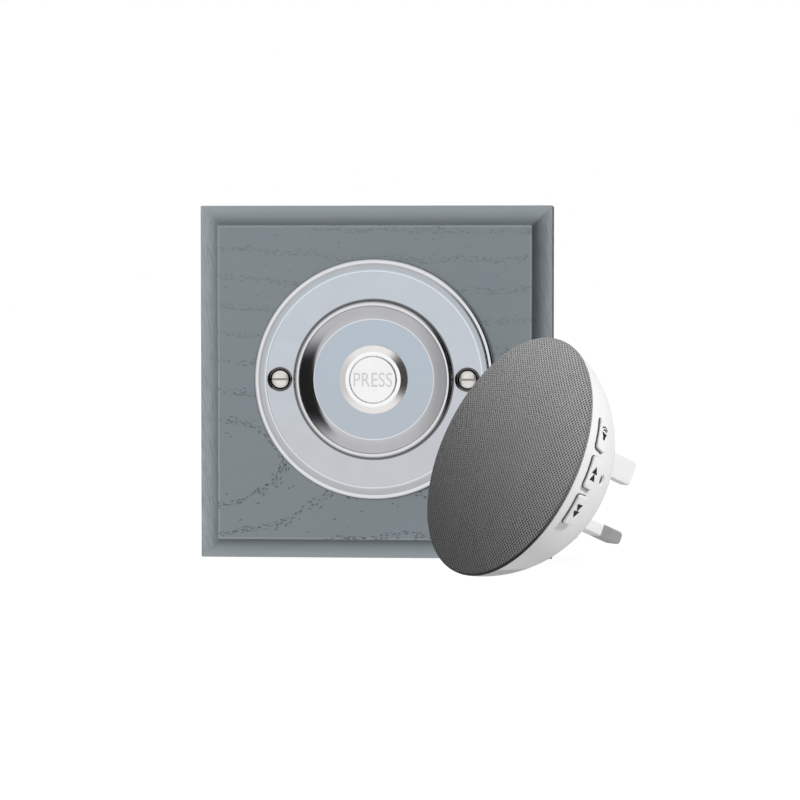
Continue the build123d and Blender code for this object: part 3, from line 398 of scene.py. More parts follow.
def arc_through(start, middle, end, steps=10):
    """Points of the circular arc through three points, both ends included."""
    start, middle, end = Vector(start), Vector(middle), Vector(end)
    first, second = middle - start, end - start
    twice = 2 * (first.x * second.y - first.y * second.x)
    across = Vector(
        (
            second.y * first.length_squared - first.y * second.length_squared,
            first.x * second.length_squared - second.x * first.length_squared,
        )
    )
    center = start + across / twice
    spoke = start - center
    sweep = turn_between(spoke, middle - center) + turn_between(middle - center, end - center)
    return [center + Matrix.Rotation(sweep * step / steps, 2) @ spoke for step in range(steps + 1)]


def turn_between(first, second):
    """Signed angle from one flat vector to another."""
    return atan2(first.x * second.y - first.y * second.x, first.dot(second))


def rolled(top, foot, power, steps):
    """Points from a level top that rolls over into an upright foot, more suddenly with a higher power."""
    width, drop = foot[0] - top[0], top[1] - foot[1]
    points = []
    for step in range(steps + 1):
        angle = pi / 2 * step / steps
        across, fall = sin(angle) ** (2 / power), 1 - cos(angle) ** (2 / power)
        points.append((top[0] + width * across, top[1] - drop * fall))
    return points


def rounded(corners):
    """Closed outline whose corners, given as (x, y) or (x, y, fillet), are rounded off."""
    outline = []
    for before, here, after in zip(corners[-1:] + corners[:-1], corners, corners[1:] + corners[:1]):
        place = Vector(here[:2])
        if len(here) < 3:
            outline.append(place)
            continue
        back = (Vector(before[:2]) - place).normalized()
        ahead = (Vector(after[:2]) - place).normalized()
        half = back.angle(ahead) / 2
        center = place + (back + ahead).normalized() * (here[2] / sin(half))
        spoke = place + back * (here[2] / tan(half)) - center
        sweep = turn_between(spoke, place + ahead * (here[2] / tan(half)) - center)
        steps = max(2, ceil(abs(sweep) / FILLET_STEP - 0.01))
        for step in range(steps + 1):
            outline.append(center + Matrix.Rotation(sweep * step / steps, 2) @ spoke)
    return outline


def rounded_rectangle(width, height, corner):
    """Outline of a rectangle with rounded corners, counter-clockwise."""
    x, y = width / 2, height / 2
    return rounded([(x, -y, corner), (x, y, corner), (-x, y, corner), (-x, -y, corner)])


def circle(radius, steps=SMALL_STEPS):
    """Outline of a circle, counter-clockwise."""
    return [Vector((radius * cos(a), radius * sin(a))) for a in (2 * pi * s / steps for s in range(steps))]


# Meshes


def stacked(rings, closed=False):
    """Mesh of rings with equal counts of points, joined in order and capped, or closed on themselves."""
    shape = bmesh.new()
    made = [[shape.verts.new(point) for point in ring] for ring in rings]
    pairs = list(zip(made, made[1:]))
    if closed:
        pairs.append((made[-1], made[0]))
    else:
        shape.faces.new(made[0])
        shape.faces.new(made[-1])
    for lower, upper in pairs:
        for index in range(len(lower)):
            following = (index + 1) % len(lower)
            shape.faces.new((lower[index], lower[following], upper[following], upper[index]))
    bmesh.ops.recalc_face_normals(shape, faces=shape.faces)
    return shape


def prism(outline, low, high):
    """Straight prism over an outline, between two heights."""
    return stacked([[(x, y, height) for x, y in outline] for height in (low, high)])


def turned(outline, steps=TURN_STEPS):
    """Mesh made by turning a closed outline of (radius, height) points once round Z."""
    shape = bmesh.new()
    angles = [2 * pi * step / steps for step in range(steps)]
    rings = []
    for radius, height in outline:
        if radius < POLE:
            rings.append([shape.verts.new((0, 0, height))] * steps)
        else:
            rings.append([shape.verts.new((radius * cos(a), radius * sin(a), height)) for a in angles])
    for ring, other in zip(rings, rings[1:] + rings[:1]):
        for index in range(steps):
            following = (index + 1) % steps
            corners = dict.fromkeys((ring[index], ring[following], other[following], other[index]))
            if len(corners) > 2:
                shape.faces.new(corners)
    bmesh.ops.recalc_face_normals(shape, faces=shape.faces)
    return shape


def plain_mesh(shape, matrix=None):
    """Mesh of a bmesh, put in its place."""
    mesh = bpy.data.meshes.new("piece")
    shape.to_mesh(mesh)
    shape.free()
    if matrix is not None:
        mesh.transform(matrix)
    return mesh


def placed(name, data):
    """New object of the scene with this data."""
    made = bpy.data.objects.new(name, data)
    bpy.context.scene.collection.objects.link(made)
    return made


def baked_mesh(source):
    """Plain mesh of an object with its modifiers applied."""
    bpy.context.view_layer.update()
    evaluated = source.evaluated_get(bpy.context.evaluated_depsgraph_get())
    return bpy.data.meshes.new_from_object(evaluated)


def discard(*objects):
    """Deletes helper objects and their meshes."""
    for helper in objects:
        mesh = helper.data
        bpy.data.objects.remove(helper)
        bpy.data.meshes.remove(mesh)


def carved(shape, matrix, steps):
    """Mesh of a bmesh after steps of (operation, bmesh, matrix) are applied to it in turn."""
    base = placed("base", plain_mesh(shape, matrix))
    tools = []
    for operation, tool_shape, tool_matrix in steps:
        tool = placed("tool", plain_mesh(tool_shape, tool_matrix))
        change = base.modifiers.new(operation, "BOOLEAN")
        change.operation = operation
        change.solver = "EXACT"
        change.object = tool
        tools.append(tool)
    mesh = baked_mesh(base)
    discard(base, *tools)
    if not mesh.polygons:
        raise RuntimeError("a cut left nothing of its piece")
    return mesh


def add_piece(name, mesh, material, body, replaced=(), smooth=SMOOTH_ANGLE):
    """Finished piece that rides a body and may stand for nodes of the frame."""
    mesh.name = name
    mesh.materials.clear()
    mesh.materials.append(material)
    mesh.shade_smooth()
    mesh.set_sharp_from_angle(angle=radians(smooth))
    rough = placed(name, mesh)
    even = rough.modifiers.new("even", "WEIGHTED_NORMAL")
    even.keep_sharp = True
    smooth_mesh = baked_mesh(rough)
    discard(rough)
    smooth_mesh.name = name
    piece = placed(name, smooth_mesh)
    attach(piece, body)
    if replaced:
        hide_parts(*replaced)
    return piece


# Node trees


def add_node(tree, kind, values=None, **options):
    """Node with its options set and its inputs given as sockets or plain values."""
    made = tree.nodes.new(kind)
    for option, value in options.items():
        setattr(made, option, value)
    for key, value in (values or {}).items():
        if isinstance(value, bpy.types.NodeSocket):
            tree.links.new(value, made.inputs[key])
        else:
            made.inputs[key].default_value = value
    return made


def calc(tree, operation, *values):
    """Output of a math node."""
    return add_node(tree, "ShaderNodeMath", dict(enumerate(values)), operation=operation).outputs[0]


def vector_calc(tree, operation, *values):
    """Output of a vector math node."""
    return add_node(tree, "ShaderNodeVectorMath", dict(enumerate(values)), operation=operation).outputs[0]


def times(tree, first, *others):
    """Product of several values."""
    for other in others:
        first = calc(tree, "MULTIPLY", first, other)
    return first


def scaled(tree, vector, factor):
    """Vector times a plain value."""
    values = {0: vector, "Scale": factor}
    return add_node(tree, "ShaderNodeVectorMath", values, operation="SCALE").outputs[0]


def length_of(tree, vector):
    """Length of a vector."""
    return add_node(tree, "ShaderNodeVectorMath", {0: vector}, operation="LENGTH").outputs["Value"]


def split(tree, vector):
    """The three axes of a vector."""
    return add_node(tree, "ShaderNodeSeparateXYZ", {0: vector}).outputs


def joined(tree, *axes):
    """Vector from the values of its axes."""
    return add_node(tree, "ShaderNodeCombineXYZ", dict(enumerate(axes))).outputs[0]


def noise(tree, place, scale, detail=2.0):
    """Soft random tone that changes from place to place."""
    values = {"Vector": place, "Scale": scale, "Detail": detail}
    return add_node(tree, "ShaderNodeTexNoise", values).outputs[0]


def ease(tree, value, low, high, start=0.0, end=1.0):
    """Smooth step of a value from one range to another."""
    values = {"Value": value, "From Min": low, "From Max": high, "To Min": start, "To Max": end}
    return add_node(tree, "ShaderNodeMapRange", values, interpolation_type="SMOOTHSTEP").outputs[0]


def blend_colours(tree, factor, first, second):
    """Mix of two colours, given as sockets or linear tuples."""
    values = [value if isinstance(value, bpy.types.NodeSocket) else (*value, 1) for value in (first, second)]
    made = add_node(tree, "ShaderNodeMix", {0: factor, 6: values[0], 7: values[1]}, data_type="RGBA")
    return made.outputs[2]


def blend_shaders(tree, factor, first, second):
    """Mix of two shaders."""
    return add_node(tree, "ShaderNodeMixShader", {0: factor, 1: first, 2: second}).outputs[0]


def layered(tree, colour, *layers):
    """Colour under layers of (mask, colour) that are laid on it in turn."""
    for mask, layer in layers:
        colour = blend_colours(tree, mask, colour, layer)
    return colour


def new_group(name, inputs, outputs):
    """Node group whose inputs have these defaults and whose outputs are values, and its inner inputs."""
    tree = bpy.data.node_groups.new(name, "ShaderNodeTree")
    for label, default in inputs.items():
        kind = "NodeSocketVector" if isinstance(default, tuple) else "NodeSocketFloat"
        tree.interface.new_socket(label, in_out="INPUT", socket_type=kind).default_value = default
    for label in outputs:
        tree.interface.new_socket(label, in_out="OUTPUT", socket_type="NodeSocketFloat")
    return tree, add_node(tree, "NodeGroupInput").outputs


def ash_grain_group():
    """Growth rings of a flat-sawn board, and the open pores that lie in them."""
    inputs = {
        "Place": (0, 0, 0),
        "Heart": (0, 0, 0),
        "Ring Slope": 0.5,
        "Ring Spacing": 10.0,
        "First Ring": 3.4,
        "Ring Level": 20.0,
    }
    tree, source = new_group("ash_grain", inputs, ("Pores", "Streaks", "Height"))
    waviness = 5.0
    pore_stretch, pore_rows = 0.7, 2.6
    crowded, stray = 0.85, 0.012
    grain_run = (0.035, 0.9, 1.6)
    offset = vector_calc(tree, "SUBTRACT", source["Place"], source["Heart"])
    place = scaled(tree, offset, MILLIMETRES)
    axes = split(tree, place)
    wander = noise(tree, place, 0.05)
    dive = calc(tree, "MULTIPLY_ADD", axes[0], source["Ring Slope"], times(tree, axes[1], 0.6))
    level = calc(tree, "SMOOTH_MIN", dive, source["Ring Level"], 4.0)
    across = calc(tree, "ADD", calc(tree, "POWER", axes[2], 2.0), calc(tree, "POWER", level, 2.0))
    reach = calc(tree, "SUBTRACT", calc(tree, "SQRT", across), source["First Ring"])
    wavy = calc(tree, "MULTIPLY_ADD", calc(tree, "SUBTRACT", wander, 0.5), waviness, reach)
    part = calc(tree, "FRACT", calc(tree, "DIVIDE", wavy, source["Ring Spacing"]))
    band = times(tree, ease(tree, part, 0.0, 0.04), ease(tree, part, 0.1, 0.3, 1.0, 0.0))
    along_rings = joined(tree, axes[0], wavy, axes[2])
    cells = vector_calc(tree, "MULTIPLY", along_rings, (pore_stretch, pore_rows, pore_stretch))
    dots = add_node(tree, "ShaderNodeTexVoronoi", {"Vector": cells, "Scale": 1.0}).outputs
    dash = ease(tree, dots["Distance"], 0.25, 0.55, 1.0, 0.0)
    chance = add_node(tree, "ShaderNodeSeparateColor", {0: dots["Color"]}).outputs[0]
    kept = calc(tree, "LESS_THAN", chance, calc(tree, "MULTIPLY_ADD", band, crowded, stray))
    fainter_above = ease(tree, axes[2], 0.0, 45.0, 1.0, 0.5)
    clear_heart = ease(tree, reach, 2.0, 6.0)
    pores = times(tree, dash, kept, fainter_above, clear_heart)
    streaks = noise(tree, vector_calc(tree, "MULTIPLY", place, grain_run), 1.0, 4.0)
    height = calc(tree, "MULTIPLY_ADD", pores, -1.0, times(tree, streaks, 0.15))
    add_node(tree, "NodeGroupOutput", {"Pores": pores, "Streaks": streaks, "Height": height})
    return tree


def turned_lines_group():
    """Fine lines that a turning tool leaves round an axis along Y."""
    inputs = {"Place": (0, 0, 0), "Axis Place": (0, 0, 0), "Lines": 9000.0}
    tree, source = new_group("turned_lines", inputs, ("Tone", "Radius", "Height"))
    offset = vector_calc(tree, "SUBTRACT", source["Place"], source["Axis Place"])
    radius = length_of(tree, vector_calc(tree, "MULTIPLY", offset, (1, 0, 1)))
    values = {"W": times(tree, radius, source["Lines"]), "Scale": 1.0, "Detail": 2.0}
    fine = add_node(tree, "ShaderNodeTexNoise", values, noise_dimensions="1D").outputs[0]
    broad = noise(tree, offset, 140.0, 3.0)
    add_node(tree, "NodeGroupOutput", {"Tone": broad, "Radius": radius, "Height": fine})
    return tree


def moulded_skin_group():
    """Faint cloudiness and fine grain of a moulded, sprayed or plated surface."""
    inputs = {"Place": (0, 0, 0), "Clouds": 60.0, "Grain": 4000.0}
    tree, source = new_group("moulded_skin", inputs, ("Tone", "Height"))
    clouds = noise(tree, source["Place"], source["Clouds"], 4.0)
    grain = noise(tree, source["Place"], source["Grain"])
    add_node(tree, "NodeGroupOutput", {"Tone": clouds, "Height": grain})
    return tree


def net_weave_group():
    """Knitted net with rows of small gaps, each row shifted by half a step."""
    inputs = {"Place": (0, 0, 0), "Pitch": 0.001}
    tree, source = new_group("net_weave", inputs, ("Threads", "Tone", "Height"))
    pitch = source["Pitch"]
    steps = vector_calc(tree, "DIVIDE", source["Place"], joined(tree, pitch, pitch, pitch))
    axes = split(tree, steps)
    along = times(tree, calc(tree, "ADD", axes[0], axes[1]), pi)
    over = times(tree, calc(tree, "SUBTRACT", axes[0], axes[1]), pi)
    ridge = times(tree, calc(tree, "SINE", along), calc(tree, "SINE", over))
    threads = ease(tree, calc(tree, "ABSOLUTE", ridge), 0.22, 0.72, 1.0, 0.0)
    broad = noise(tree, source["Place"], 90.0)
    add_node(tree, "NodeGroupOutput", {"Threads": threads, "Tone": broad, "Height": threads})
    return tree


GROUP_MAKERS = {
    "ash_grain": ash_grain_group,
    "turned_lines": turned_lines_group,
    "moulded_skin": moulded_skin_group,
    "net_weave": net_weave_group,
}


def group_node(tree, name, values):
    """Node of a shared group, which is built the first time that it is asked for."""
    shared = bpy.data.node_groups.get(name) or GROUP_MAKERS[name]()
    return add_node(tree, "ShaderNodeGroup", values, node_tree=shared).outputs


# Materials


def new_material(name):
    """Material, and its tree, shader and object coordinates to work with."""
    material = bpy.data.materials.new(name)
    material.use_nodes = True
    tree = material.node_tree
    shader = tree.nodes["Principled BSDF"]
    place = add_node(tree, "ShaderNodeTexCoord").outputs["Object"]
    return material, tree, shader, place


def dress(tree, shader, colour, roughness, bump, values):
    """Gives a shader its colour, roughness, bump of (height, strength, distance) and other values."""
    relief = add_node(tree, "ShaderNodeBump", dict(zip(("Height", "Strength", "Distance"), bump)))
    links = {"Base Color": colour, "Roughness": roughness, "Normal": relief.outputs[0]}
    for name, socket in links.items():
        tree.links.new(socket, shader.inputs[name])
    for name, value in values.items():
        shader.inputs[name].default_value = value


def plate_radii(push):
    """Inner radii of the plate's bead, quarter round, ring, rim and slope."""
    radii = [push.plate_radius]
    for width in (push.bead_width, push.ovolo_width, push.ring_width, push.rim_width, push.slope_width):
        radii.append(radii[-1] - width)
    return radii[1:]


def ring_mask(tree, radius, middle, half):
    """One on a ring of this middle radius and half width, and none beside it."""
    away = calc(tree, "ABSOLUTE", calc(tree, "SUBTRACT", radius, middle))
    return ease(tree, away, half * 0.5, half, 1.0, 0.0)


def screw_place():
    """Distance of the plate's screws from the push's middle."""
    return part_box("flange_screws")[1].x - settings("push").head_radius


def side_feather(tree, place):
    """Steep streaks of the grain where the side mouldings cut across it, faintest at the top."""
    axes = split(tree, place)
    across, lean, run = 2600.0, 460.0, 130.0
    slant = calc(tree, "MULTIPLY_ADD", axes[0], across, times(tree, axes[2], lean))
    along = joined(tree, slant, times(tree, axes[2], run))
    streaks = noise(tree, along, 1.0, 3.0)
    fading = ease(tree, axes[2], PLINTH_LOW.z, PLINTH_HIGH.z * 0.7, 0.46, 0.3)
    return times(tree, ease(tree, streaks, 0.42, 0.66), fading)


def painted_ash():
    """Satin paint over open-pored ash, with painted highlights on the outer cove and along the arris,
    painted shade in the quirk, and plain on the back.
    """
    plinth = settings("plinth")
    material, tree, shader, place = new_material("painted_ash")
    values = {
        "Place": place,
        "Heart": plinth.heart,
        "Ring Slope": plinth.ring_slope,
        "Ring Spacing": plinth.ring_spacing * MILLIMETRES,
        "First Ring": plinth.first_ring * MILLIMETRES,
        "Ring Level": plinth.ring_level * MILLIMETRES,
    }
    grain = group_node(tree, "ash_grain", values)
    drift = group_node(tree, "moulded_skin", {"Place": place, "Clouds": 26.0, "Grain": 2600.0})
    greener, bluer = plinth.paint.copy(), plinth.paint.copy()
    greener.b *= 0.98
    bluer.r *= 0.985
    bluer.g *= 0.99
    flat = blend_colours(tree, ease(tree, drift["Tone"], 0.38, 0.62), greener, bluer)
    arris = plinth.arris
    middle = (PLINTH_LOW + PLINTH_HIGH) / 2
    edge = PLINTH_HIGH.x - middle.x
    face = edge - plinth.moulding_width
    back = PLINTH_HIGH.y - middle.y
    away = vector_calc(tree, "SUBTRACT", place, middle)
    axes = split(tree, vector_calc(tree, "ABSOLUTE", away))
    shaped = ease(tree, split(tree, away)[1], back - arris, back - arris / 4, 1.0, 0.0)
    reach = times(tree, calc(tree, "MAXIMUM", axes[0], axes[2]), shaped)
    moulded = ease(tree, reach, face, face + arris)
    mitred = ease(tree, calc(tree, "SUBTRACT", axes[0], axes[2]), -arris, arris)
    # Painted highlight: the cove grows paler towards the plinth's outer edge.
    outside = ease(tree, reach, face, edge, 0.0, 0.6)
    sides = times(tree, moulded, mitred, side_feather(tree, place))
    # Painted highlight: a thin pale line just inside the face's arris.
    arris_highlight = times(tree, ring_mask(tree, reach, face - arris, arris * 1.5), 0.3)
    # Painted shade: the inner half of the cove darkens towards the quirk.
    quirk_shade = times(tree, moulded, ease(tree, reach, face, (face + edge) / 2, 0.36, 0.0))
    filled = ease(tree, moulded, 0.0, 1.0, 1.0, 0.12)
    pores = times(tree, grain["Pores"], filled, ease(tree, shaped, 0.0, 1.0, 0.25, 1.0))
    colour = layered(
        tree,
        flat,
        (outside, plinth.highlit),
        (sides, plinth.pore_and_shade),
        (arris_highlight, plinth.highlit),
        (quirk_shade, plinth.pore_and_shade),
        (pores, plinth.pore_and_shade),
    )
    roughness = ease(tree, grain["Streaks"], 0.2, 0.8, 0.5, 0.62)
    dress(tree, shader, colour, roughness, (grain["Height"], 0.4, 0.00015), {"Specular IOR Level": 0.35})
    return material


def polished_chrome():
    """Polished plate with faint turning lines, painted highlight rings on its edges, and painted shade at
    the boss's foot, in the quarter round's hollow and in the countersinks.
    """
    push = settings("push")
    line, nose = push.dish_line, push.rim_nose
    material, tree, shader, place = new_material("polished_chrome")
    lines = group_node(tree, "turned_lines", {"Place": place, "Axis Place": PUSH_CENTER, "Lines": 5200.0})
    radius = lines["Radius"]
    hazy = [channel * 0.975 for channel in push.chrome]
    bright = blend_colours(tree, ease(tree, lines["Tone"], 0.35, 0.65), push.chrome, hazy)
    bead_inner, ovolo_inner, boss, rim_inner, dish = plate_radii(push)
    edge = dish - line
    colour = blend_colours(tree, ease(tree, radius, edge, edge + line / 3), push.dish_chrome, bright)
    # Painted highlights: thin bright rings on the bead, the edges and the rim, standing in for reflected
    # light.
    highlight_rings = (
        (bead_inner + push.bead_width / 2, push.bead_width * 0.35),
        (bead_inner, line),
        (ovolo_inner + line / 2, line),
        (rim_inner + nose * 1.5, nose * 1.5),
        (dish, line * 0.7),
    )
    for ring in highlight_rings:
        colour = layered(tree, colour, (times(tree, ring_mask(tree, radius, *ring), 0.55), push.highlighted))
    # Painted shade: dark rings at the boss's foot and in the quarter round's hollow, and dark countersinks.
    foot = ring_mask(tree, radius, boss - nose * 0.7, nose * 1.3)
    hollow = ring_mask(tree, radius, (bead_inner + ovolo_inner) / 2 + line, push.ovolo_width * 0.4)
    mirrored = vector_calc(tree, "ABSOLUTE", vector_calc(tree, "SUBTRACT", place, PUSH_CENTER))
    beside = vector_calc(tree, "SUBTRACT", mirrored, (screw_place(), 0, 0))
    around = length_of(tree, vector_calc(tree, "MULTIPLY", beside, (1, 0, 1)))
    sunk = ease(tree, around, push.sink_radius * 0.95, push.sink_radius, 1.0, 0.0)
    colour = layered(
        tree,
        colour,
        (times(tree, foot, 0.88), push.foot_shade),
        (times(tree, hollow, 0.22), push.hollow_shade),
        (sunk, push.hollow_shade),
    )
    roughness = ease(tree, lines["Tone"], 0.3, 0.7, 0.09, 0.13)
    dress(tree, shader, colour, roughness, (lines["Height"], 0.05, 0.00002), {"Metallic": 1.0})
    return material


def turned_steel(name, colour, roughness, depth):
    """Bright steel with fine lines from turning."""
    material, tree, shader, place = new_material(name)
    lines = group_node(tree, "turned_lines", {"Place": place, "Axis Place": PUSH_CENTER, "Lines": 9000.0})
    duller = [channel * 0.97 for channel in colour]
    tone = blend_colours(tree, ease(tree, lines["Height"], 0.35, 0.65), colour, duller)
    gloss = ease(tree, lines["Tone"], 0.3, 0.7, roughness, roughness * 1.3)
    dress(tree, shader, tone, gloss, (lines["Height"], 0.35, depth), {"Metallic": 1.0})
    return material


def slotted_nickel():
    """Bright nickel with painted shade in the slots of the plate's screws."""
    push = settings("push")
    material, tree, shader, place = new_material("screw_nickel")
    skin = group_node(tree, "moulded_skin", {"Place": place, "Clouds": 700.0, "Grain": 9000.0})
    duller = [channel * 0.85 for channel in push.nickel]
    bright = blend_colours(tree, ease(tree, skin["Tone"], 0.3, 0.7), duller, push.nickel)
    offset = vector_calc(tree, "ABSOLUTE", vector_calc(tree, "SUBTRACT", place, PUSH_CENTER))
    level = split(tree, offset)[2]
    half = push.slot_width / 2
    # Painted shade: the slot's floor and walls are darker.
    colour = blend_colours(tree, ease(tree, level, half * 0.8, half * 1.05), push.slot_shade, bright)
    roughness = ease(tree, skin["Tone"], 0.2, 0.8, 0.26, 0.36)
    dress(tree, shader, colour, roughness, (skin["Height"], 0.3, 0.00001), {"Metallic": 1.0})
    return material


def net_cloth():
    """Grey knitted net with small dark gaps, and painted shade where it folds over the rim."""
    chime = settings("chime")
    material, tree, shader = new_material("net_cloth")[:3]
    flat = add_node(tree, "ShaderNodeUVMap", uv_map="weave").outputs[0]
    weave = group_node(tree, "net_weave", {"Place": flat, "Pitch": chime.weave_pitch * sqrt(2)})
    colour = blend_colours(tree, weave["Threads"], chime.cloth_gap_and_shade, chime.cloth_light)
    reach = length_of(tree, flat)
    rim = bowl_at(0.0)
    colour = layered(
        tree,
        colour,
        (ease(tree, weave["Tone"], 0.3, 0.7, 0.0, 0.12), chime.cloth_light),
        # Painted shade: the cloth darkens where it folds over the rim.
        (ease(tree, reach, rim - chime.cloth_edge, rim, 0.0, 0.75), chime.cloth_gap_and_shade),
    )
    roughness = ease(tree, weave["Threads"], 0.0, 1.0, 0.95, 0.7)
    values = {"Specular IOR Level": 0.2, "Sheen Weight": 0.15, "Sheen Roughness": 0.5}
    dress(tree, shader, colour, roughness, (weave["Height"], 0.4, 0.0002), values)
    return material


def skinned(
    name, colour, roughness, metallic=0.0, clouds=60.0, grain=4000.0, depth=0.00001, spread=0.06, gap=None
):
    """Plain material that varies a little in tone and gloss, and may carry painted shade in the bowl's gaps.

    A gap is given as two heights over the ball: the painted shade is all dark below the first, and plain
    above the second.
    """
    material, tree, shader, place = new_material(name)
    skin = group_node(tree, "moulded_skin", {"Place": place, "Clouds": clouds, "Grain": grain})
    lighter = [min(1.0, channel * (1 + spread)) for channel in colour]
    darker = [channel * (1 - spread) for channel in colour]
    tinted = blend_colours(tree, ease(tree, skin["Tone"], 0.3, 0.7), darker, lighter)
    # Painted shade: the colour goes dark close to the ball's surface, in the gaps round keys and openings.
    if gap:
        reach = length_of(tree, vector_calc(tree, "SUBTRACT", place, ball_middle()))
        low, high = (settings("chime").bowl_radius + height for height in gap)
        shaded = [channel * 0.12 for channel in colour]
        tinted = blend_colours(tree, ease(tree, reach, low, high, 1.0, 0.0), tinted, shaded)
    gloss = ease(tree, skin["Tone"], 0.2, 0.8, roughness * 0.85, roughness * 1.15)
    dress(tree, shader, tinted, gloss, (skin["Height"], 0.3, depth), {"Metallic": metallic})
    return material


def white_plastic(name, roughness, clouds, gap=None):
    """Smooth white moulding of the chime."""
    white = settings("chime").white
    return skinned(name, white, roughness, 0.0, clouds, 5200.0, 0.000006, 0.012, gap)


# Finishes of the pieces that keep their solids: colour, roughness, metallic and node names
INNER_FINISHES = {
    "gasket_rubber": ((0.020, 0.020, 0.022), 0.70, 0.0, ("barrel_gasket",)),
    "nut_steel": ((0.560, 0.560, 0.550), 0.30, 1.0, ("barrel_nut",)),
    "contact_brass": ((0.750, 0.560, 0.260), 0.28, 1.0, ("contact_plate", "switch_terminals")),
    "black_moulding": (
        (0.030, 0.030, 0.032),
        0.45,
        0.0,
        ("contact_block", "cell_holder", "board_chips", "key_switches", "chime_chips"),
    ),
    "lead_cover": (
        (0.420, 0.030, 0.025),
        0.50,
        0.0,
        ("switch_lead_left", "switch_lead_right", "speaker_leads", "key_ribbon"),
    ),
    "board_lacquer": ((0.020, 0.150, 0.055), 0.35, 0.0, ("transmitter_board", "chime_board", "key_strip")),
    "cell_steel": ((0.640, 0.640, 0.630), 0.22, 1.0, ("coin_cell", "cell_clip")),
    "board_screw_zinc": ((0.600, 0.600, 0.610), 0.30, 1.0, ("board_screws", "chime_board_screws")),
    "cover_moulding": ((0.215, 0.235, 0.250), 0.55, 0.0, ("back_cover",)),
    "grille_moulding": ((0.050, 0.050, 0.052), 0.55, 0.0, ("grille_frame",)),
    "basket_steel": ((0.420, 0.420, 0.430), 0.35, 1.0, ("speaker_frame",)),
    "cone_paper": ((0.045, 0.044, 0.042), 0.85, 0.0, ("speaker_cone",)),
    "magnet_ferrite": ((0.070, 0.070, 0.074), 0.60, 0.0, ("speaker_magnet",)),
    "winding_copper": ((0.600, 0.270, 0.110), 0.35, 1.0, ("mains_transformer",)),
    "can_aluminium": ((0.720, 0.720, 0.730), 0.28, 1.0, ("smoothing_capacitor",)),
}


# Trees of geometry nodes


def new_maker(name, sockets):
    """Tree of geometry nodes with these named inputs and a finish, and its inner inputs."""
    tree = bpy.data.node_groups.new(name, "GeometryNodeTree")
    for label, kind in {**sockets, "Finish": "Material"}.items():
        tree.interface.new_socket(label, in_out="INPUT", socket_type=f"NodeSocket{kind}")
    tree.interface.new_socket("Geometry", in_out="OUTPUT", socket_type="NodeSocketGeometry")
    return tree, add_node(tree, "NodeGroupInput").outputs


def finish_maker(tree, source, geometry):
    """The tree, with its geometry made into plain faces that have its finish."""
    solid = add_node(tree, "GeometryNodeRealizeInstances", {"Geometry": geometry}).outputs[0]
    values = {"Geometry": solid, "Material": source["Finish"]}
    finished = add_node(tree, "GeometryNodeSetMaterial", values).outputs[0]
    add_node(tree, "NodeGroupOutput", {"Geometry": finished})
    return tree


def row_tree():
    """Geometry nodes that set copies of one object in a straight row."""
    sockets = {"Screw": "Object", "Count": "Int", "Start": "Vector", "Step": "Vector"}
    tree, source = new_maker("row_of_screws", sockets)
    places = {"Count": source["Count"], "Start Location": source["Start"], "Offset": source["Step"]}
    row = add_node(tree, "GeometryNodeMeshLine", places, mode="OFFSET").outputs[0]
    screw = add_node(tree, "GeometryNodeObjectInfo", {"Object": source["Screw"]}).outputs["Geometry"]
    copies = add_node(tree, "GeometryNodeInstanceOnPoints", {"Points": row, "Instance": screw}).outputs[0]
    return finish_maker(tree, source, copies)


def spring_tree():
    """Geometry nodes that wind a wire into an open coil."""
    sockets = dict.fromkeys(("Turns", "Radius", "Rise", "Wire Radius"), "Float")
    tree, source = new_maker("coil_spring", sockets)
    winding = {
        "Resolution": 36,
        "Rotations": source["Turns"],
        "Start Radius": source["Radius"],
        "End Radius": source["Radius"],
        "Height": source["Rise"],
    }
    coil = add_node(tree, "GeometryNodeCurveSpiral", winding).outputs[0]
    section = {"Resolution": 12, "Radius": source["Wire Radius"]}
    wire = add_node(tree, "GeometryNodeCurvePrimitiveCircle", section).outputs[0]
    values = {"Curve": coil, "Profile Curve": wire, "Fill Caps": True}
    return finish_maker(tree, source, add_node(tree, "GeometryNodeCurveToMesh", values).outputs[0])


def node_mesh(tree, values):
    """Plain mesh that a tree of geometry nodes makes from these named inputs."""
    holder = placed("holder", bpy.data.meshes.new("holder"))
    change = holder.modifiers.new("nodes", "NODES")
    change.node_group = tree
    for item in tree.interface.items_tree:
        if item.in_out == "INPUT":
            change[item.identifier] = values[item.name]
    mesh = baked_mesh(holder)
    discard(holder)
    if not mesh.polygons:
        raise RuntimeError(f"{tree.name} made no faces")
    return mesh


def add_lamp(name, place, size, power, target):
    """Soft square lamp that faces a target, and is neither seen nor mirrored."""
    data = bpy.data.lights.new(name, "AREA")
    data.size = size
    data.energy = power
    lamp = placed(name, data)
    lamp.location = place
    lamp.rotation_euler = (Vector(target) - lamp.location).to_track_quat("-Z", "Y").to_euler()
    lamp.visible_camera = False
    lamp.visible_glossy = False
    return lamp


# Steps that build the stage and the pieces


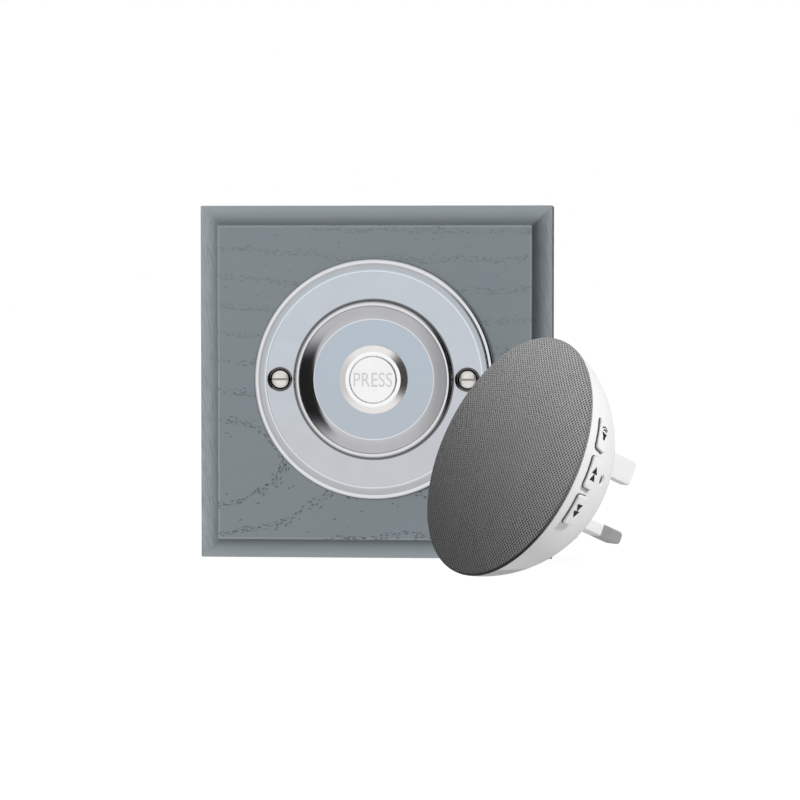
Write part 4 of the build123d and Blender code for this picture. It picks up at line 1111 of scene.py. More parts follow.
class DOORBELL_OT_stage(Operator):
    """Camera, large lamp, floor and surroundings"""

    bl_idname = "doorbell.stage"
    bl_label = "Stage"
    bl_options = {"REGISTER", "UNDO"}

    def execute(self, context):
        stage = settings("stage")
        context.scene.view_settings.view_transform = "Standard"
        self.add_camera(context.scene, stage)
        add_lamp("key_lamp", stage.key_place, stage.key_size, stage.key_power, stage.aim)
        self.add_floor(stage)
        self.set_world(context.scene, stage)
        return {"FINISHED"}

    def add_camera(self, scene, stage):
        """Camera that looks at the aim from its azimuth and elevation."""
        data = bpy.data.cameras.new("camera")
        data.sensor_width = 36.0
        data.lens = stage.lens
        data.clip_start = 0.01
        camera = placed("camera", data)
        level = cos(stage.elevation)
        back = Vector((sin(stage.azimuth) * level, -cos(stage.azimuth) * level, sin(stage.elevation)))
        camera.location = Vector(stage.aim) + back * stage.distance
        camera.rotation_euler = (-back).to_track_quat("-Z", "Y").to_euler()
        scene.camera = camera

    def add_floor(self, stage):
        """Pale floor that keeps a soft shadow and is white for the camera elsewhere."""
        half = stage.floor_size / 2
        corners = [(-half, -half, 0), (half, -half, 0), (half, half, 0), (-half, half, 0)]
        mesh = bpy.data.meshes.new("floor")
        mesh.from_pydata(corners, [], [(0, 1, 2, 3)])
        floor = placed("floor", mesh)
        material = bpy.data.materials.new("pale_floor")
        material.use_nodes = True
        tree = material.node_tree
        tree.nodes.clear()
        pale = (0.92, 0.92, 0.92, 1)
        matt = add_node(tree, "ShaderNodeBsdfDiffuse", {"Color": pale}).outputs[0]
        seen = add_node(tree, "ShaderNodeLightPath").outputs["Is Camera Ray"]
        strength = calc(tree, "MULTIPLY_ADD", seen, stage.glow - stage.table, stage.table)
        glow = add_node(tree, "ShaderNodeEmission", {"Color": WHITE, "Strength": strength}).outputs[0]
        mixed = blend_shaders(tree, 1.0 - stage.shadow, matt, glow)
        add_node(tree, "ShaderNodeOutputMaterial", {"Surface": mixed})
        mesh.materials.append(material)
        floor.visible_glossy = False

    def set_world(self, scene, stage):
        """White surroundings, with a soft fall-off and a dark side to the right in the metal."""
        world = bpy.data.worlds.new("studio")
        world.use_nodes = True
        scene.world = world
        tree = world.node_tree
        tree.nodes.clear()
        axes = split(tree, add_node(tree, "ShaderNodeTexCoord").outputs["Generated"])
        front = ease(tree, axes[1], -0.9, -0.35, 1.0, 0.85)
        rear = ease(tree, axes[1], -0.15, 0.15, 1.0, 0.5)
        left = ease(tree, axes[0], -1.0, -0.55, 0.7, 1.0)
        flag_height, flag_tone = 0.08, 0.03
        level = calc(tree, "ABSOLUTE", calc(tree, "SUBTRACT", axes[2], flag_height))
        right = ease(tree, axes[0], 0.3, 0.6)
        beside = ease(tree, calc(tree, "SUBTRACT", axes[1], times(tree, level, 0.4)), -0.86, -0.76)
        flag = times(tree, right, ease(tree, level, 0.3, 0.95, 1.0, 0.0), beside)
        tone = times(tree, front, rear, left, ease(tree, flag, 0.0, 1.0, 1.0, flag_tone))
        ahead = ease(tree, axes[1], -0.99, -0.94, 1.0, 0.0)
        cool = times(tree, ease(tree, axes[2], -0.1, 0.0), ahead)
        warm_white, cool_white = (0.965, 0.950, 0.955), (0.955, 1.03, 1.09)
        shade = blend_colours(tree, cool, warm_white, cool_white)
        mirrored = add_node(tree, "ShaderNodeBackground", {"Color": scaled(tree, shade, tone)}).outputs[0]
        sides = ease(tree, axes[1], -1.0, -0.2, stage.sky * 0.6, stage.sky * 1.5)
        sides = times(tree, sides, ease(tree, axes[0], 0.0, 0.7, 1.0, 0.15))
        matt = add_node(tree, "ShaderNodeBackground", {"Color": WHITE, "Strength": sides}).outputs[0]
        white = add_node(tree, "ShaderNodeBackground", {"Color": WHITE, "Strength": 1.0}).outputs[0]
        path = add_node(tree, "ShaderNodeLightPath").outputs
        lit = blend_shaders(tree, path["Is Glossy Ray"], matt, mirrored)
        clear = calc(tree, "MAXIMUM", path["Is Camera Ray"], path["Is Transmission Ray"])
        seen = blend_shaders(tree, clear, lit, white)
        add_node(tree, "ShaderNodeOutputWorld", {"Surface": seen})


class DOORBELL_OT_plinth(Operator):
    """Moulded wooden plinth with its bore, recess and holes"""

    bl_idname = "doorbell.plinth"
    bl_label = "Plinth"
    bl_options = {"REGISTER", "UNDO"}

    def execute(self, context):
        plinth = settings("plinth")
        push = push_matrix()
        depth = PLINTH_HIGH.y - FACE_Y
        low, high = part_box("back_cover")
        gap = 2 * plinth.rebate_gap
        rebate = rounded_rectangle(high.x - low.x + gap, high.z - low.z + gap, plinth.recess_corner)
        recess = rounded_rectangle(plinth.recess_width, plinth.recess_height, plinth.recess_corner)
        over = 0.001
        steps = [
            ("DIFFERENCE", prism(circle(plinth.wire_bore, 96), -depth, over), push),
            ("DIFFERENCE", prism(recess, -depth - over, plinth.recess_depth - depth), push),
            ("DIFFERENCE", prism(rebate, -depth - over, plinth.rebate_depth - depth), push),
        ]
        wall_place = MOUNTS["wall_screws"]["dims"]["spacing_y_mm"] / 2 / MILLIMETRES
        sink = [
            (0, -depth - over),
            (plinth.wall_hole, -depth - over),
            (plinth.wall_hole, plinth.wall_hole - plinth.wall_sink),
            (plinth.wall_sink + over, over),
            (0, over),
        ]
        tip = FACE_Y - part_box("flange_screws")[1].y
        for side in (-1, 1):
            steps.append(("DIFFERENCE", turned(sink, SMALL_STEPS), moved(push, y=side * wall_place)))
            pilot = prism(circle(plinth.pilot, 32), tip, over)
            steps.append(("DIFFERENCE", pilot, moved(push, side * screw_place())))
        mesh = carved(self.block(plinth), None, steps)
        add_piece("plinth_wood", mesh, painted_ash(), "bell_set", ("plinth",), smooth=24)
        return {"FINISHED"}

    def block(self, plinth):
        """The moulded block: square rings from the back edge to the edge of the face."""
        outer = (0.0, FACE_Y + plinth.moulding_drop)
        inner = (plinth.moulding_width, FACE_Y + plinth.quirk_drop)
        chord = Vector(inner) - Vector(outer)
        hollow = Vector((-chord.y, chord.x)).normalized() * plinth.cove_sag
        middle = (Vector(outer) + Vector(inner)) / 2 + hollow
        cove = arc_through(outer, middle, inner, 12)
        width, arris = plinth.moulding_width, plinth.arris
        back = [(width * 2, PLINTH_HIGH.y), (0.0, PLINTH_HIGH.y, arris), (*cove[0], arris), cove[1]]
        front = [cove[-1], (width, FACE_Y, arris), (width * 2, FACE_Y)]
        profile = [*rounded(back)[1:-1], *cove[1:], *rounded(front)[1:-1]]
        return stacked([self.square_ring(inset, y, plinth.corner) for inset, y in profile])

    def square_ring(self, inset, y, corner):
        """Square with rounded corners round the plinth's middle, at a depth."""
        half = (PLINTH_HIGH.x - PLINTH_LOW.x) / 2 - inset
        middle = (PLINTH_LOW + PLINTH_HIGH) / 2
        return [(middle.x + x, y, middle.z + z) for x, z in rounded_rectangle(2 * half, 2 * half, corner)]


class DOORBELL_OT_push_plate(Operator):
    """Turned chrome plate with two countersunk holes"""

    bl_idname = "doorbell.push_plate"
    bl_label = "Push Plate"
    bl_options = {"REGISTER", "UNDO"}

    def execute(self, context):
        push = settings("push")
        flare = push.sink_radius * 0.03
        sink = [
            (0, push.ring_height + flare),
            (push.sink_radius + 3 * flare, push.ring_height + flare),
            (push.sink_radius, push.ring_height - flare * 0.5),
            (push.screw_hole, push.ring_height - push.sink_radius + push.screw_hole),
            (push.screw_hole, -flare),
            (0, -flare),
        ]
        steps = []
        for side in (-1, 1):
            at = moved(push_matrix(), side * screw_place())
            pad = prism(circle(push.pad_radius), 0.0, push.ring_height - push.plate_wall / 2)
            steps.append(("UNION", pad, at))
            steps.append(("DIFFERENCE", turned(sink, SCREW_STEPS), at))
        mesh = carved(turned(self.section(push), FINE_STEPS), push_matrix(), steps)
        chrome = polished_chrome()
        nodes = ("push_plate",)
        add_piece("push_plate_chrome", mesh, chrome, "bell_set", nodes, smooth=18)
        return {"FINISHED"}

    def section(self, push):
        """Section of the plate, from the switch hole over the front to the back."""
        clearance, sag = 0.0001, 0.00025
        hole = push.barrel_radius + clearance
        bead_inner, ovolo_inner, boss, rim_inner, dish = plate_radii(push)
        crest = rim_inner + push.rim_nose
        wall = push.plate_wall
        slope_middle = ((dish + rim_inner) / 2, (push.dish_height + push.rim_shoulder) / 2 - sag)
        slope = arc_through((dish, push.dish_height), slope_middle, (rim_inner, push.rim_shoulder), 8)
        nose = rolled((crest, push.rim_height), (rim_inner, push.rim_shoulder), 2, 6)
        boss_side = rolled((crest, push.rim_height), (boss, push.ring_height), 2, 14)
        ovolo = rolled((ovolo_inner, push.ovolo_height), (bead_inner, push.bead_foot), 9, 14)
        bead_middle = (bead_inner + push.bead_width / 2, push.bead_crest)
        bead_edge = (push.plate_radius, push.plate_edge)
        bead = arc_through((bead_inner, push.bead_foot), bead_middle, bead_edge, 14)
        corners = [
            (hole, push.dish_height, FINE_FILLET),
            *slope,
            *nose[-2::-1],
            *boss_side[1:],
            (ovolo_inner, push.ring_height, FINE_FILLET),
            *ovolo,
            *bead[1:],
            (push.plate_radius, 0.0),
            (bead_inner, 0.0),
            (ovolo_inner, push.ring_height - wall),
            (boss - wall, push.ring_height - wall),
            (boss - wall, push.rim_shoulder - 2 * wall),
            (dish, push.dish_height - wall),
            (hole, push.dish_height - wall),
        ]
        return rounded(corners)


class DOORBELL_OT_screws(Operator):
    """Slotted screws of the plate and of the back cover"""

    bl_idname = "doorbell.screws"
    bl_label = "Screws"
    bl_options = {"REGISTER", "UNDO"}

    def execute(self, context):
        push = settings("push")
        at = push_matrix()
        nickel = slotted_nickel()
        top = FACE_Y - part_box("flange_screws")[0].y
        edge = top - push.head_rise
        dome = arc_through((-push.head_radius, edge), (0.0, top), (push.head_radius, edge), 20)
        section = [
            *[(max(0.0, x), height) for x, height in dome[10:]],
            (push.shank_radius, edge - push.head_radius + push.shank_radius),
            (push.shank_radius, push.shank_radius - push.screw_reach),
            (0.0, -push.screw_reach),
        ]
        blank = turned(section, SCREW_STEPS)
        self.add_row("plate_screws", blank, at, top, screw_place(), nickel, "flange_screws")
        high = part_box("cover_screws")[1]
        back = moved(at, z=FACE_Y - high.y) @ Matrix.Rotation(pi, 4, "X")
        section = rounded(
            [
                (0.0, 0.0),
                (push.cover_head, 0.0, FINE_FILLET),
                (push.cover_shank, push.cover_shank - push.cover_head),
                (push.cover_shank, -push.cover_reach),
                (0.0, -push.cover_reach),
            ]
        )
        blank = turned(section, SMALL_STEPS)
        place = high.x - push.cover_head
        self.add_row("back_cover_screws", blank, back, 0.0, place, nickel, "cover_screws")
        return {"FINISHED"}

    def add_row(self, name, blank, at, top, place, finish, node):
        """Piece with two screws at a distance from the middle, cut with a straight slot each."""
        push = settings("push")
        outline = rounded_rectangle(4 * push.head_radius, push.slot_width, push.slot_width / 8)
        slot = prism(outline, top - push.slot_depth, top + push.slot_depth)
        unit = placed("unit_screw", carved(blank, at, [("DIFFERENCE", slot, at)]))
        row = {"Count": 2, "Start": (-place, 0, 0), "Step": (2 * place, 0, 0)}
        tree = bpy.data.node_groups.get("row_of_screws") or row_tree()
        mesh = node_mesh(tree, {"Screw": unit, "Finish": finish, **row})
        discard(unit)
        add_piece(name, mesh, finish, "bell_set", (node,))


class DOORBELL_OT_switch(Operator):
    """Bezel and barrel, sprung button with its word, and return spring"""

    bl_idname = "doorbell.switch"
    bl_label = "Switch"
    bl_options = {"REGISTER", "UNDO"}

    def execute(self, context):
        push = settings("push")
        at = push_matrix()
        fine = 0.00012
        barrel = rounded(
            [
                (push.button_bore, push.bezel_top, fine),
                (push.bezel_flat, push.bezel_top, fine),
                (push.bezel_radius, push.bezel_edge, fine),
                (push.bezel_radius, push.bezel_seat),
                (push.barrel_radius, push.bezel_seat),
                (push.barrel_radius, push.barrel_end),
                (push.barrel_bore, push.barrel_end),
                (push.barrel_bore, push.lip_under),
                (push.button_bore, push.lip_under),
            ]
        )
        steel = turned_steel("turned_steel", push.steel, 0.2, 0.00001)
        mesh = plain_mesh(turned(barrel), at)
        add_piece("switch_bezel", mesh, steel, "bell_set", ("switch_barrel",))
        button = rounded(
            [
                (0.0, push.button_top),
                (push.button_radius, push.button_top, push.button_edge),
                (push.button_radius, push.flange_top),
                (push.flange_radius, push.flange_top),
                (push.flange_radius, push.flange_under),
                (push.stem_radius, push.flange_under),
                (push.stem_radius, push.stem_end),
                (0.0, push.stem_end),
            ]
        )
        face = turned_steel("button_steel", push.steel, 0.32, 0.000006)
        mesh = plain_mesh(turned(button), at)
        add_piece("press_button_cap", mesh, face, "bell_button", ("press_button",))
        self.add_word(push, at)
        self.add_spring(push, at)
        return {"FINISHED"}

    def add_word(self, push, at):
        """Plain word on the button's face, as thin flat letters."""
        text = bpy.data.curves.new("word", "FONT")
        text.body = push.word
        text.align_x = "CENTER"
        text.align_y = "CENTER"
        text.space_character = 1.04
        text.extrude = push.word_depth
        holder = placed("word", text)
        mesh = baked_mesh(holder)
        bpy.data.objects.remove(holder)
        bpy.data.curves.remove(text)
        points = [vertex.co for vertex in mesh.vertices]
        low = Vector([min(point[axis] for point in points) for axis in range(3)])
        high = Vector([max(point[axis] for point in points) for axis in range(3)])
        size = high - low
        fit = Matrix.Diagonal((push.word_width / size.x, push.word_height / size.y, 1.0, 1.0))
        middle = (low + high) / 2
        mesh.transform(moved(at, z=push.button_top) @ fit @ Matrix.Translation(-middle))
        grey = skinned("word_grey", push.word_grey, 0.5, 0.6, clouds=900.0)
        add_piece("button_word", mesh, grey, "bell_button")

    def add_spring(self, push, at):
        """Open coil of the return spring."""
        low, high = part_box("button_spring")
        steel = skinned("spring_steel", (0.5, 0.5, 0.49), 0.25, 1.0, clouds=500.0)
        values = {
            "Turns": push.spring_turns,
            "Radius": push.spring_radius,
            "Rise": high.y - low.y - push.spring_wire,
            "Wire Radius": push.spring_wire / 2,
            "Finish": steel,
        }
        mesh = node_mesh(spring_tree(), values)
        mesh.transform(moved(at, z=FACE_Y - high.y + push.spring_wire / 2))
        nodes = ("button_spring",)
        spring = add_piece("return_spring", mesh, steel, "bell_set", nodes, smooth=60)
        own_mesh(spring)


class DOORBELL_OT_chime_body(Operator):
    """Bowl with its key openings, and the plug base behind it"""

    bl_idname = "doorbell.chime_body"
    bl_label = "Chime Body"
    bl_options = {"REGISTER", "UNDO"}

    def execute(self, context):
        chime = settings("chime")
        # The shell carries painted shade on the walls of its openings and recess.
        self.add_shell(chime, white_plastic("shell_white", 0.34, 45.0, (-0.0007, -0.0004)))
        self.add_base(chime, white_plastic("base_white", 0.34, 45.0))
        return {"FINISHED"}

    def add_shell(self, chime, white):
        """The bowl's wall, opened for the keys and the status light."""
        groove = chime.split_groove
        soft = 0.0002
        outer = bowl_line(soft, chime.split_depth - groove)
        inner = bowl_line(chime.split_depth, 0.0, chime.shell_wall)
        section = [
            (bowl_at(0.0) - soft, 0.0),
            *outer,
            (bowl_at(chime.split_depth) - groove, -chime.split_depth),
            *inner,
        ]
        opening = rounded_rectangle(
            chime.key_length + 2 * chime.key_gap,
            chime.key_width + 2 * chime.key_gap,
            chime.key_corner + chime.key_gap,
        )
        reach = chime.flange_top
        steps = []
        for side in (-1, 0, 1):
            at = seat_matrix(chime.key_group + side * chime.key_pitch, chime.key_depth)
            steps.append(("DIFFERENCE", prism(opening, -reach, reach), at))
        hole = chime.status_radius + chime.seat_gap * 2
        well = [
            (0.0, chime.status_recess),
            (hole + 2 * chime.status_flare, chime.status_recess),
            (hole + chime.status_flare / 2, -chime.status_recess / 2),
            (hole, -chime.status_recess),
            (hole, -reach),
            (0.0, -reach),
        ]
        light_place = seat_matrix(chime.key_group, chime.status_depth)
        steps.append(("DIFFERENCE", turned(well, SMALL_STEPS), light_place))
        mesh = carved(turned(section, FINE_STEPS), chime_matrix(), steps)
        add_piece("chime_bowl", mesh, white, "bell_set", ("chime_shell",), smooth=30)

    def add_base(self, chime, white):
        """Rear of the bowl: flat plug face, lip into the shell, posts and pin openings."""
        groove = chime.split_groove
        floor = chime.body_depth - chime.plug_wall
        lip_outer = bowl_at(chime.split_depth, chime.shell_wall) - 2 * chime.seat_gap
        lip_inner = lip_outer - chime.lip_wall
        lip_root = sqrt((chime.bowl_radius - chime.shell_wall) ** 2 - lip_inner**2) - ball_offset()
        lip_top = chime.split_depth - chime.lip_height
        outer = bowl_line(chime.split_depth + groove, chime.body_depth)
        inner = bowl_line(floor, lip_root, chime.shell_wall, 8)
        section = rounded(
            [
                *outer[:-1],
                (*outer[-1], chime.plug_edge),
                (0.0, -chime.body_depth),
                (0.0, -floor),
                *inner,
                (lip_inner, -lip_top),
                (lip_outer, -lip_top),
                (lip_outer, -chime.split_depth),
                (bowl_at(chime.split_depth) - groove, -chime.split_depth),
            ]
        )
        at = chime_matrix()
        steps = []
        over = 0.0005
        post_top = chime.post_height - floor
        for post in range(chime.post_count):
            angle = chime.post_angle + 2 * pi * post / chime.post_count
            place = moved(at, chime.post_circle * cos(angle), chime.post_circle * sin(angle))
            steps.append(("UNION", prism(circle(chime.post_radius), -floor - over, post_top), place))
            steps.append(("DIFFERENCE", prism(circle(chime.post_bore, 24), -floor, post_top + over), place))
        gap = 2 * chime.seat_gap
        half = chime.pin_spacing / 2
        power = (chime.pin_width + gap, chime.pin_thickness + gap)
        earth = (chime.earth_width + gap, chime.earth_height + gap)
        for x, y, (width, height) in ((half, -half, power), (-half, -half, power), (0, half, earth)):
            opening = rounded_rectangle(width, height, chime.pin_corner)
            hole = prism(opening, -chime.body_depth - over, over - floor)
            steps.append(("DIFFERENCE", hole, moved(at, x, y)))
        mesh = carved(turned(section, FINE_STEPS), at, steps)
        add_piece("chime_plug_base", mesh, white, "bell_set", ("plug_base",), smooth=30)


class DOORBELL_OT_cloth(Operator):
    """Net cloth stretched over the chime's front"""

    bl_idname = "doorbell.cloth"
    bl_label = "Grille Cloth"
    bl_options = {"REGISTER", "UNDO"}

    def execute(self, context):
        chime = settings("chime")
        rim = bowl_at(0.0)
        inside = rim - chime.cloth_thickness
        soft = 0.0005
        dome = self.dome(chime, rim, 0.0, rim - soft)
        hidden = self.dome(chime, rim, chime.cloth_thickness, inside)
        shoulder = (rim - soft * 0.3, chime.cloth_edge - soft * 0.12)
        edge = arc_through(dome[-1], shoulder, (rim, chime.cloth_edge - soft * 0.7), 6)
        section = [*dome[:-1], *edge, (rim, chime.seat_gap), (inside, chime.seat_gap), *reversed(hidden)]
        mesh = plain_mesh(turned(section, FINE_STEPS))
        layer = mesh.uv_layers.new(name="weave")
        for loop in mesh.loops:
            point = mesh.vertices[loop.vertex_index].co
            layer.data[loop.index].uv = point.xy * (1 + max(0.0, chime.cloth_edge - point.z) / rim)
        mesh.transform(chime_matrix())
        net = net_cloth()
        cloth = add_piece("chime_cloth", mesh, net, "bell_set", ("grille_cloth",), smooth=40)
        return {"FINISHED"}

    def dome(self, chime, rim, drop, reach, steps=40):
        """Points of the dome's section from its middle out to a reach, a drop below the cloth."""
        rise = chime.dome_height - chime.cloth_edge
        ball = (rim**2 + rise**2) / (2 * rise)
        top = chime.dome_height - drop - ball
        radii = [reach * step / steps for step in range(steps + 1)]
        return [(radius, top + sqrt(ball**2 - radius**2)) for radius in radii]


class DOORBELL_OT_keys(Operator):
    """Three sprung keys with their signs, and the status light"""

    bl_idname = "doorbell.keys"
    bl_label = "Keys"
    bl_options = {"REGISTER", "UNDO"}

    def execute(self, context):
        chime = settings("chime")
        # The keys carry painted shade at the foot of their sides.
        white = white_plastic("key_white", 0.3, 80.0, (0.0002, 0.0006))
        ink = skinned("sign_ink", chime.ink, 0.5, clouds=600.0)
        signs = {"volume": self.speaker_sign, "next": self.skip_sign, "previous": self.skip_sign}
        for index, (name, sign) in enumerate(signs.items()):
            at = seat_matrix(chime.key_group + (1 - index) * chime.key_pitch, chime.key_depth)
            body = f"{name}_key"
            mesh = carved(*self.key_shape(chime, at))
            add_piece(f"chime_{name}_key", mesh, white, body, (f"{name}_button",), smooth=40)
            flip = -1 if name == "previous" else 1
            marks = self.sign_mesh(chime, sign(chime.sign_size), flip, at)
            add_piece(f"chime_{name}_sign", marks, ink, body)
        self.add_status_light(chime)
        return {"FINISHED"}

    def key_top(self, chime, x, y):
        """Height of a key's face over its seat: it follows the ball of the bowl."""
        return sqrt((chime.bowl_radius + chime.key_proud) ** 2 - x**2 - y**2) - chime.bowl_radius

    def key_shape(self, chime, at):
        """Cap with a rounded edge, and the lip and stem that are joined to it."""
        rings = [[(x, y, -chime.flange_top) for x, y in self.key_outline(chime, 0.0)]]
        steps = 5
        for step in range(steps + 1):
            angle = pi / 2 * step / steps
            inset, drop = chime.key_edge * (1 - cos(angle)), chime.key_edge * (1 - sin(angle))
            outline = self.key_outline(chime, inset)
            rings.append([(x, y, self.key_top(chime, x, y) - drop) for x, y in outline])
        face_insets = (0.0009, 0.0016, 0.0021)
        for inset in face_insets:
            rings.append([(x, y, self.key_top(chime, x, y)) for x, y in self.key_outline(chime, inset)])
        lip = rounded_rectangle(chime.key_length, chime.key_width + 2 * chime.key_lip, chime.key_corner)
        return (
            stacked(rings),
            at,
            [
                ("UNION", prism(lip, -chime.flange_under, -chime.flange_top), at),
                ("UNION", prism(circle(chime.stem_radius, 32), -chime.stem_end, -chime.flange_under), at),
            ],
        )

    def key_outline(self, chime, inset):
        """Outline of a key, drawn in by an inset."""
        corner = max(0.0003, chime.key_corner - inset)
        return rounded_rectangle(chime.key_length - 2 * inset, chime.key_width - 2 * inset, corner)

    def skip_sign(self, size):
        """Two triangles in a row."""
        half, reach = size / 2, size * 0.78
        return [[(start, -half), (start + reach, 0.0), (start, half)] for start in (-reach, 0.0)]

    def speaker_sign(self, size):
        """Small loudspeaker with two waves."""
        foot, half = size * 0.2, size / 2
        upper = [(foot * 1.2, half), (-foot, foot), (-half, foot)]
        lower = [(x, -y) for x, y in reversed(upper)]
        shapes = [[*lower, *upper]]
        half_line, spread, steps = 0.07, radians(50), 8
        for radius in (0.42, 0.72):
            outline = []
            for edge, way in ((radius + half_line, 1), (radius - half_line, -1)):
                for step in range(steps + 1):
                    angle = way * spread * (2 * step / steps - 1)
                    outline.append((foot + size * edge * cos(angle), size * edge * sin(angle)))
            shapes.append(outline)
        return shapes

    def sign_mesh(self, chime, outlines, flip, at):
        """Thin marks that lie on a key's curved face."""
        shape = bmesh.new()
        for outline in outlines:
            layers = []
            for rise in (-chime.sign_rise, chime.sign_rise):
                points = [(flip * x, y, self.key_top(chime, x, y) + rise) for x, y in outline]
                layers.append([shape.verts.new(point) for point in points])
            for layer in layers:
                shape.faces.new(layer)
            count = len(outline)
            for index in range(count):
                following = (index + 1) % count
                low, high = layers
                shape.faces.new((low[index], low[following], high[following], high[index]))
        bmesh.ops.recalc_face_normals(shape, faces=shape.faces)
        bmesh.ops.triangulate(shape, faces=[face for face in shape.faces if len(face.verts) > 4])
        return plain_mesh(shape, at)

    def add_status_light(self, chime):
        """Small rod with a domed end and a collar behind the wall, set back in its recess."""
        radius = chime.status_radius
        top = -chime.status_recess
        end = top - chime.status_length
        collar_width, fall = 0.0007, 0.0003
        collar = radius + collar_width
        section = [
            *arc_through((0.0, top), (radius * 0.6, top - fall / 3), (radius, top - fall), 6),
            (radius, top - chime.shell_wall),
            (collar, top - chime.shell_wall),
            (collar, end),
            (0.0, end),
        ]
        lens = skinned("status_lens", (0.20, 0.205, 0.21), 0.2, clouds=900.0)
        at = seat_matrix(chime.key_group, chime.status_depth)
        mesh = plain_mesh(turned(section, SMALL_STEPS), at)
        add_piece("chime_status_lens", mesh, lens, "bell_set", ("status_light",))


class DOORBELL_OT_pins(Operator):
    """Mains pins with their sleeves, and the plastic earth pin"""

    bl_idname = "doorbell.pins"
    bl_label = "Pins"
    bl_options = {"REGISTER", "UNDO"}

    def execute(self, context):
        chime = settings("chime")
        metal = skinned("pin_metal", (0.44, 0.445, 0.44), 0.42, 0.35, clouds=260.0, grain=7000.0)
        white = skinned("pin_white", chime.white, 0.36, clouds=120.0, spread=0.012)
        half = chime.pin_spacing / 2
        at = chime_matrix()
        places = {"live_pin": half, "neutral_pin": -half}
        sleeves = bmesh.new()
        for name, x in places.items():
            place = moved(at, x, -half)
            mesh = plain_mesh(stacked(self.power_rings(chime)), place)
            add_piece(f"chime_{name}", mesh, metal, "bell_set", (name,), smooth=40)
            sleeve = plain_mesh(stacked(self.sleeve_rings(chime), closed=True), place)
            sleeves.from_mesh(sleeve)
            bpy.data.meshes.remove(sleeve)
        mesh = plain_mesh(sleeves)
        add_piece("chime_pin_sleeves", mesh, white, "bell_set", ("pin_sleeves",), smooth=40)
        mesh = plain_mesh(stacked(self.earth_rings(chime)), moved(at, y=half))
        add_piece("chime_earth_pin", mesh, white, "bell_set", ("earth_pin",), smooth=40)
        return {"FINISHED"}

    def ring(self, width, height, corner, level):
        """Rounded rectangle at a level."""
        return [(x, y, level) for x, y in rounded_rectangle(width, height, corner)]

    def tip_rings(self, width, height, corner, end, tip, steps=7):
        """Rings that round off a pin's end."""
        rings = []
        for step in range(steps + 1):
            angle = pi / 2 * step / steps
            inset = tip * (1 - cos(angle))
            level = end + tip * (1 - sin(angle))
            wide, tall = width - 2 * inset, height - 2 * inset
            rings.append(self.ring(wide, tall, min(max(corner, inset), 0.49 * min(wide, tall)), level))
        return rings

    def power_rings(self, chime):
        """Levels of a power pin: tail, collar, waist under the sleeve and rounded end."""
        floor = chime.plug_wall - chime.body_depth
        face = -chime.body_depth
        wide, thick, corner = chime.pin_width, chime.pin_thickness, chime.pin_corner
        grow = 2 * chime.pin_collar
        waist = 2 * chime.sleeve_wall
        tail = (chime.tail_width, chime.tail_thickness, chime.tail_thickness / 8)
        collar = (wide + grow, thick + grow, corner)
        inner = (wide - waist, thick - waist, corner / 4)
        full = (wide, thick, corner)
        return [
            self.ring(*tail, floor + chime.post_height),
            self.ring(*tail, floor + chime.collar_height),
            self.ring(*collar, floor + chime.collar_height),
            self.ring(*collar, floor),
            self.ring(*full, floor),
            self.ring(*full, face),
            self.ring(*inner, face),
            self.ring(*inner, face - chime.sleeve_length),
            self.ring(*full, face - chime.sleeve_length),
            *self.tip_rings(wide, thick, corner, face - chime.pin_length, chime.pin_tip),
        ]

    def sleeve_rings(self, chime):
        """Levels of a sleeve: outside, then back inside."""
        face = -chime.body_depth
        end = face - chime.sleeve_length
        outer = (chime.pin_width, chime.pin_thickness, chime.pin_corner)
        shrink = 2 * chime.sleeve_wall - 2 * chime.seat_gap
        inner = (chime.pin_width - shrink, chime.pin_thickness - shrink, chime.pin_corner / 4)
        levels = ((outer, face), (outer, end), (inner, end), (inner, face))
        return [self.ring(*size, level) for size, level in levels]

    def earth_rings(self, chime):
        """Levels of the earth pin: collar inside the base, and a rounded end."""
        floor = chime.plug_wall - chime.body_depth
        grow = 2 * chime.pin_collar
        wide, tall, corner = chime.earth_width, chime.earth_height, chime.pin_corner
        return [
            self.ring(wide + grow, tall + grow, corner, floor + chime.collar_height),
            self.ring(wide + grow, tall + grow, corner, floor),
            self.ring(wide, tall, corner, floor),
            *self.tip_rings(wide, tall, corner, -chime.body_depth - chime.earth_length, chime.pin_tip),
        ]


class DOORBELL_OT_inner_pieces(Operator):
    """Finishes of the pieces inside the plinth and the chime, and of the back cover"""

    bl_idname = "doorbell.inner_pieces"
    bl_label = "Inner Pieces"
    bl_options = {"REGISTER", "UNDO"}

    def execute(self, context):
        for name, (colour, roughness, metallic, nodes) in INNER_FINISHES.items():
            finish = skinned(name, colour, roughness, metallic, clouds=220.0, grain=6000.0)
            for node in nodes:
                slots = frame["nodes"][node].material_slots
                if not slots:
                    raise RuntimeError(f"{node} has no place for a finish")
                for slot in slots:
                    slot.material = finish
        return {"FINISHED"}


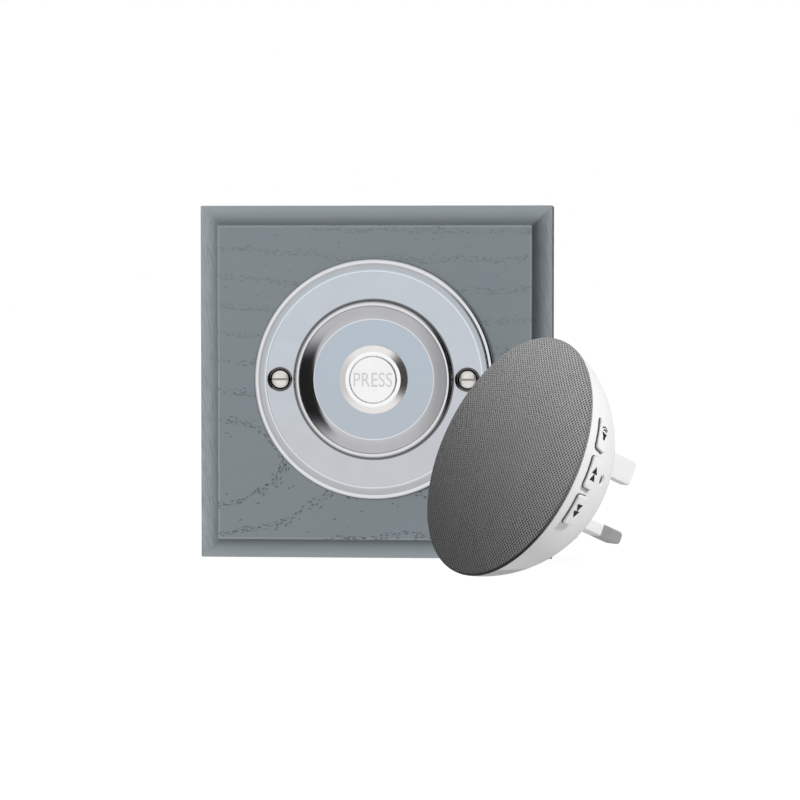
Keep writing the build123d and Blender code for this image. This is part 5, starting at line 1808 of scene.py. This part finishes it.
class DOORBELL_OT_chime_lamps(Operator):
    """Lamps for the chime's pieces alone, which the plate doesn't mirror"""

    bl_idname = "doorbell.chime_lamps"
    bl_label = "Chime Lamps"
    bl_options = {"REGISTER", "UNDO"}

    def execute(self, context):
        stage = settings("stage")
        nodes = set(frame["nodes"].values())
        pieces = [piece for piece in context.scene.objects if piece.name.startswith("chime_")]
        pieces = [piece for piece in pieces if piece not in nodes]
        cloth = [piece for piece in pieces if piece.name == "chime_cloth"]
        body = [piece for piece in pieces if piece.name != "chime_cloth"]
        lamp = add_lamp("cloth_lamp", stage.cloth_place, stage.cloth_size, stage.cloth_power, stage.aim)
        self.link(lamp, cloth, "INCLUDE")
        lamp = add_lamp("body_lamp", stage.body_place, stage.body_size, stage.body_power, stage.aim)
        self.link(lamp, body, "INCLUDE")
        above = chime_matrix().translation
        low = (above.x, above.y, stage.under_level)
        lamp = add_lamp("under_lamp", low, stage.under_size, stage.under_power, above)
        self.link(lamp, body, "INCLUDE")
        self.link(bpy.data.objects["key_lamp"], pieces, "EXCLUDE")
        for piece in [*pieces, *nodes]:
            piece.visible_glossy = False
        return {"FINISHED"}

    def link(self, lamp, pieces, state):
        """Lets a lamp light only these pieces, or all but these."""
        lit = bpy.data.collections.new(f"{lamp.name}_pieces")
        for piece in pieces:
            lit.objects.link(piece)
        for member in lit.collection_objects:
            member.light_linking.link_state = state
        lamp.light_linking.receiver_collection = lit


BUILD_ORDER = (
    DOORBELL_OT_stage,
    DOORBELL_OT_plinth,
    DOORBELL_OT_push_plate,
    DOORBELL_OT_screws,
    DOORBELL_OT_switch,
    DOORBELL_OT_chime_body,
    DOORBELL_OT_cloth,
    DOORBELL_OT_keys,
    DOORBELL_OT_pins,
    DOORBELL_OT_inner_pieces,
    DOORBELL_OT_chime_lamps,
)


class DOORBELL_PT_panel(Panel):
    """Steps that build the doorbell, in their order"""

    bl_idname = "DOORBELL_PT_panel"
    bl_label = "Wireless Doorbell"
    bl_space_type = "VIEW_3D"
    bl_region_type = "UI"
    bl_category = "Doorbell"

    def draw(self, context):
        for step in BUILD_ORDER:
            self.layout.operator(step.bl_idname)


SETTING_GROUPS = {
    "plinth": PlinthSettings,
    "push": PushSettings,
    "chime": ChimeSettings,
    "stage": StageSettings,
}


def register():
    for group in SETTING_GROUPS.values():
        bpy.utils.register_class(group)
    for name, group in SETTING_GROUPS.items():
        setattr(bpy.types.Scene, f"doorbell_{name}", PointerProperty(type=group))
    for step in (*BUILD_ORDER, DOORBELL_PT_panel):
        bpy.utils.register_class(step)


def unregister():
    for step in (DOORBELL_PT_panel, *reversed(BUILD_ORDER)):
        bpy.utils.unregister_class(step)
    for name, group in SETTING_GROUPS.items():
        delattr(bpy.types.Scene, f"doorbell_{name}")
        bpy.utils.unregister_class(group)


def main():
    """Builds everything in order."""
    register()
    for step in BUILD_ORDER:
        getattr(bpy.ops.doorbell, step.bl_idname.split(".")[1])()


if __name__ == "__main__":
    main()
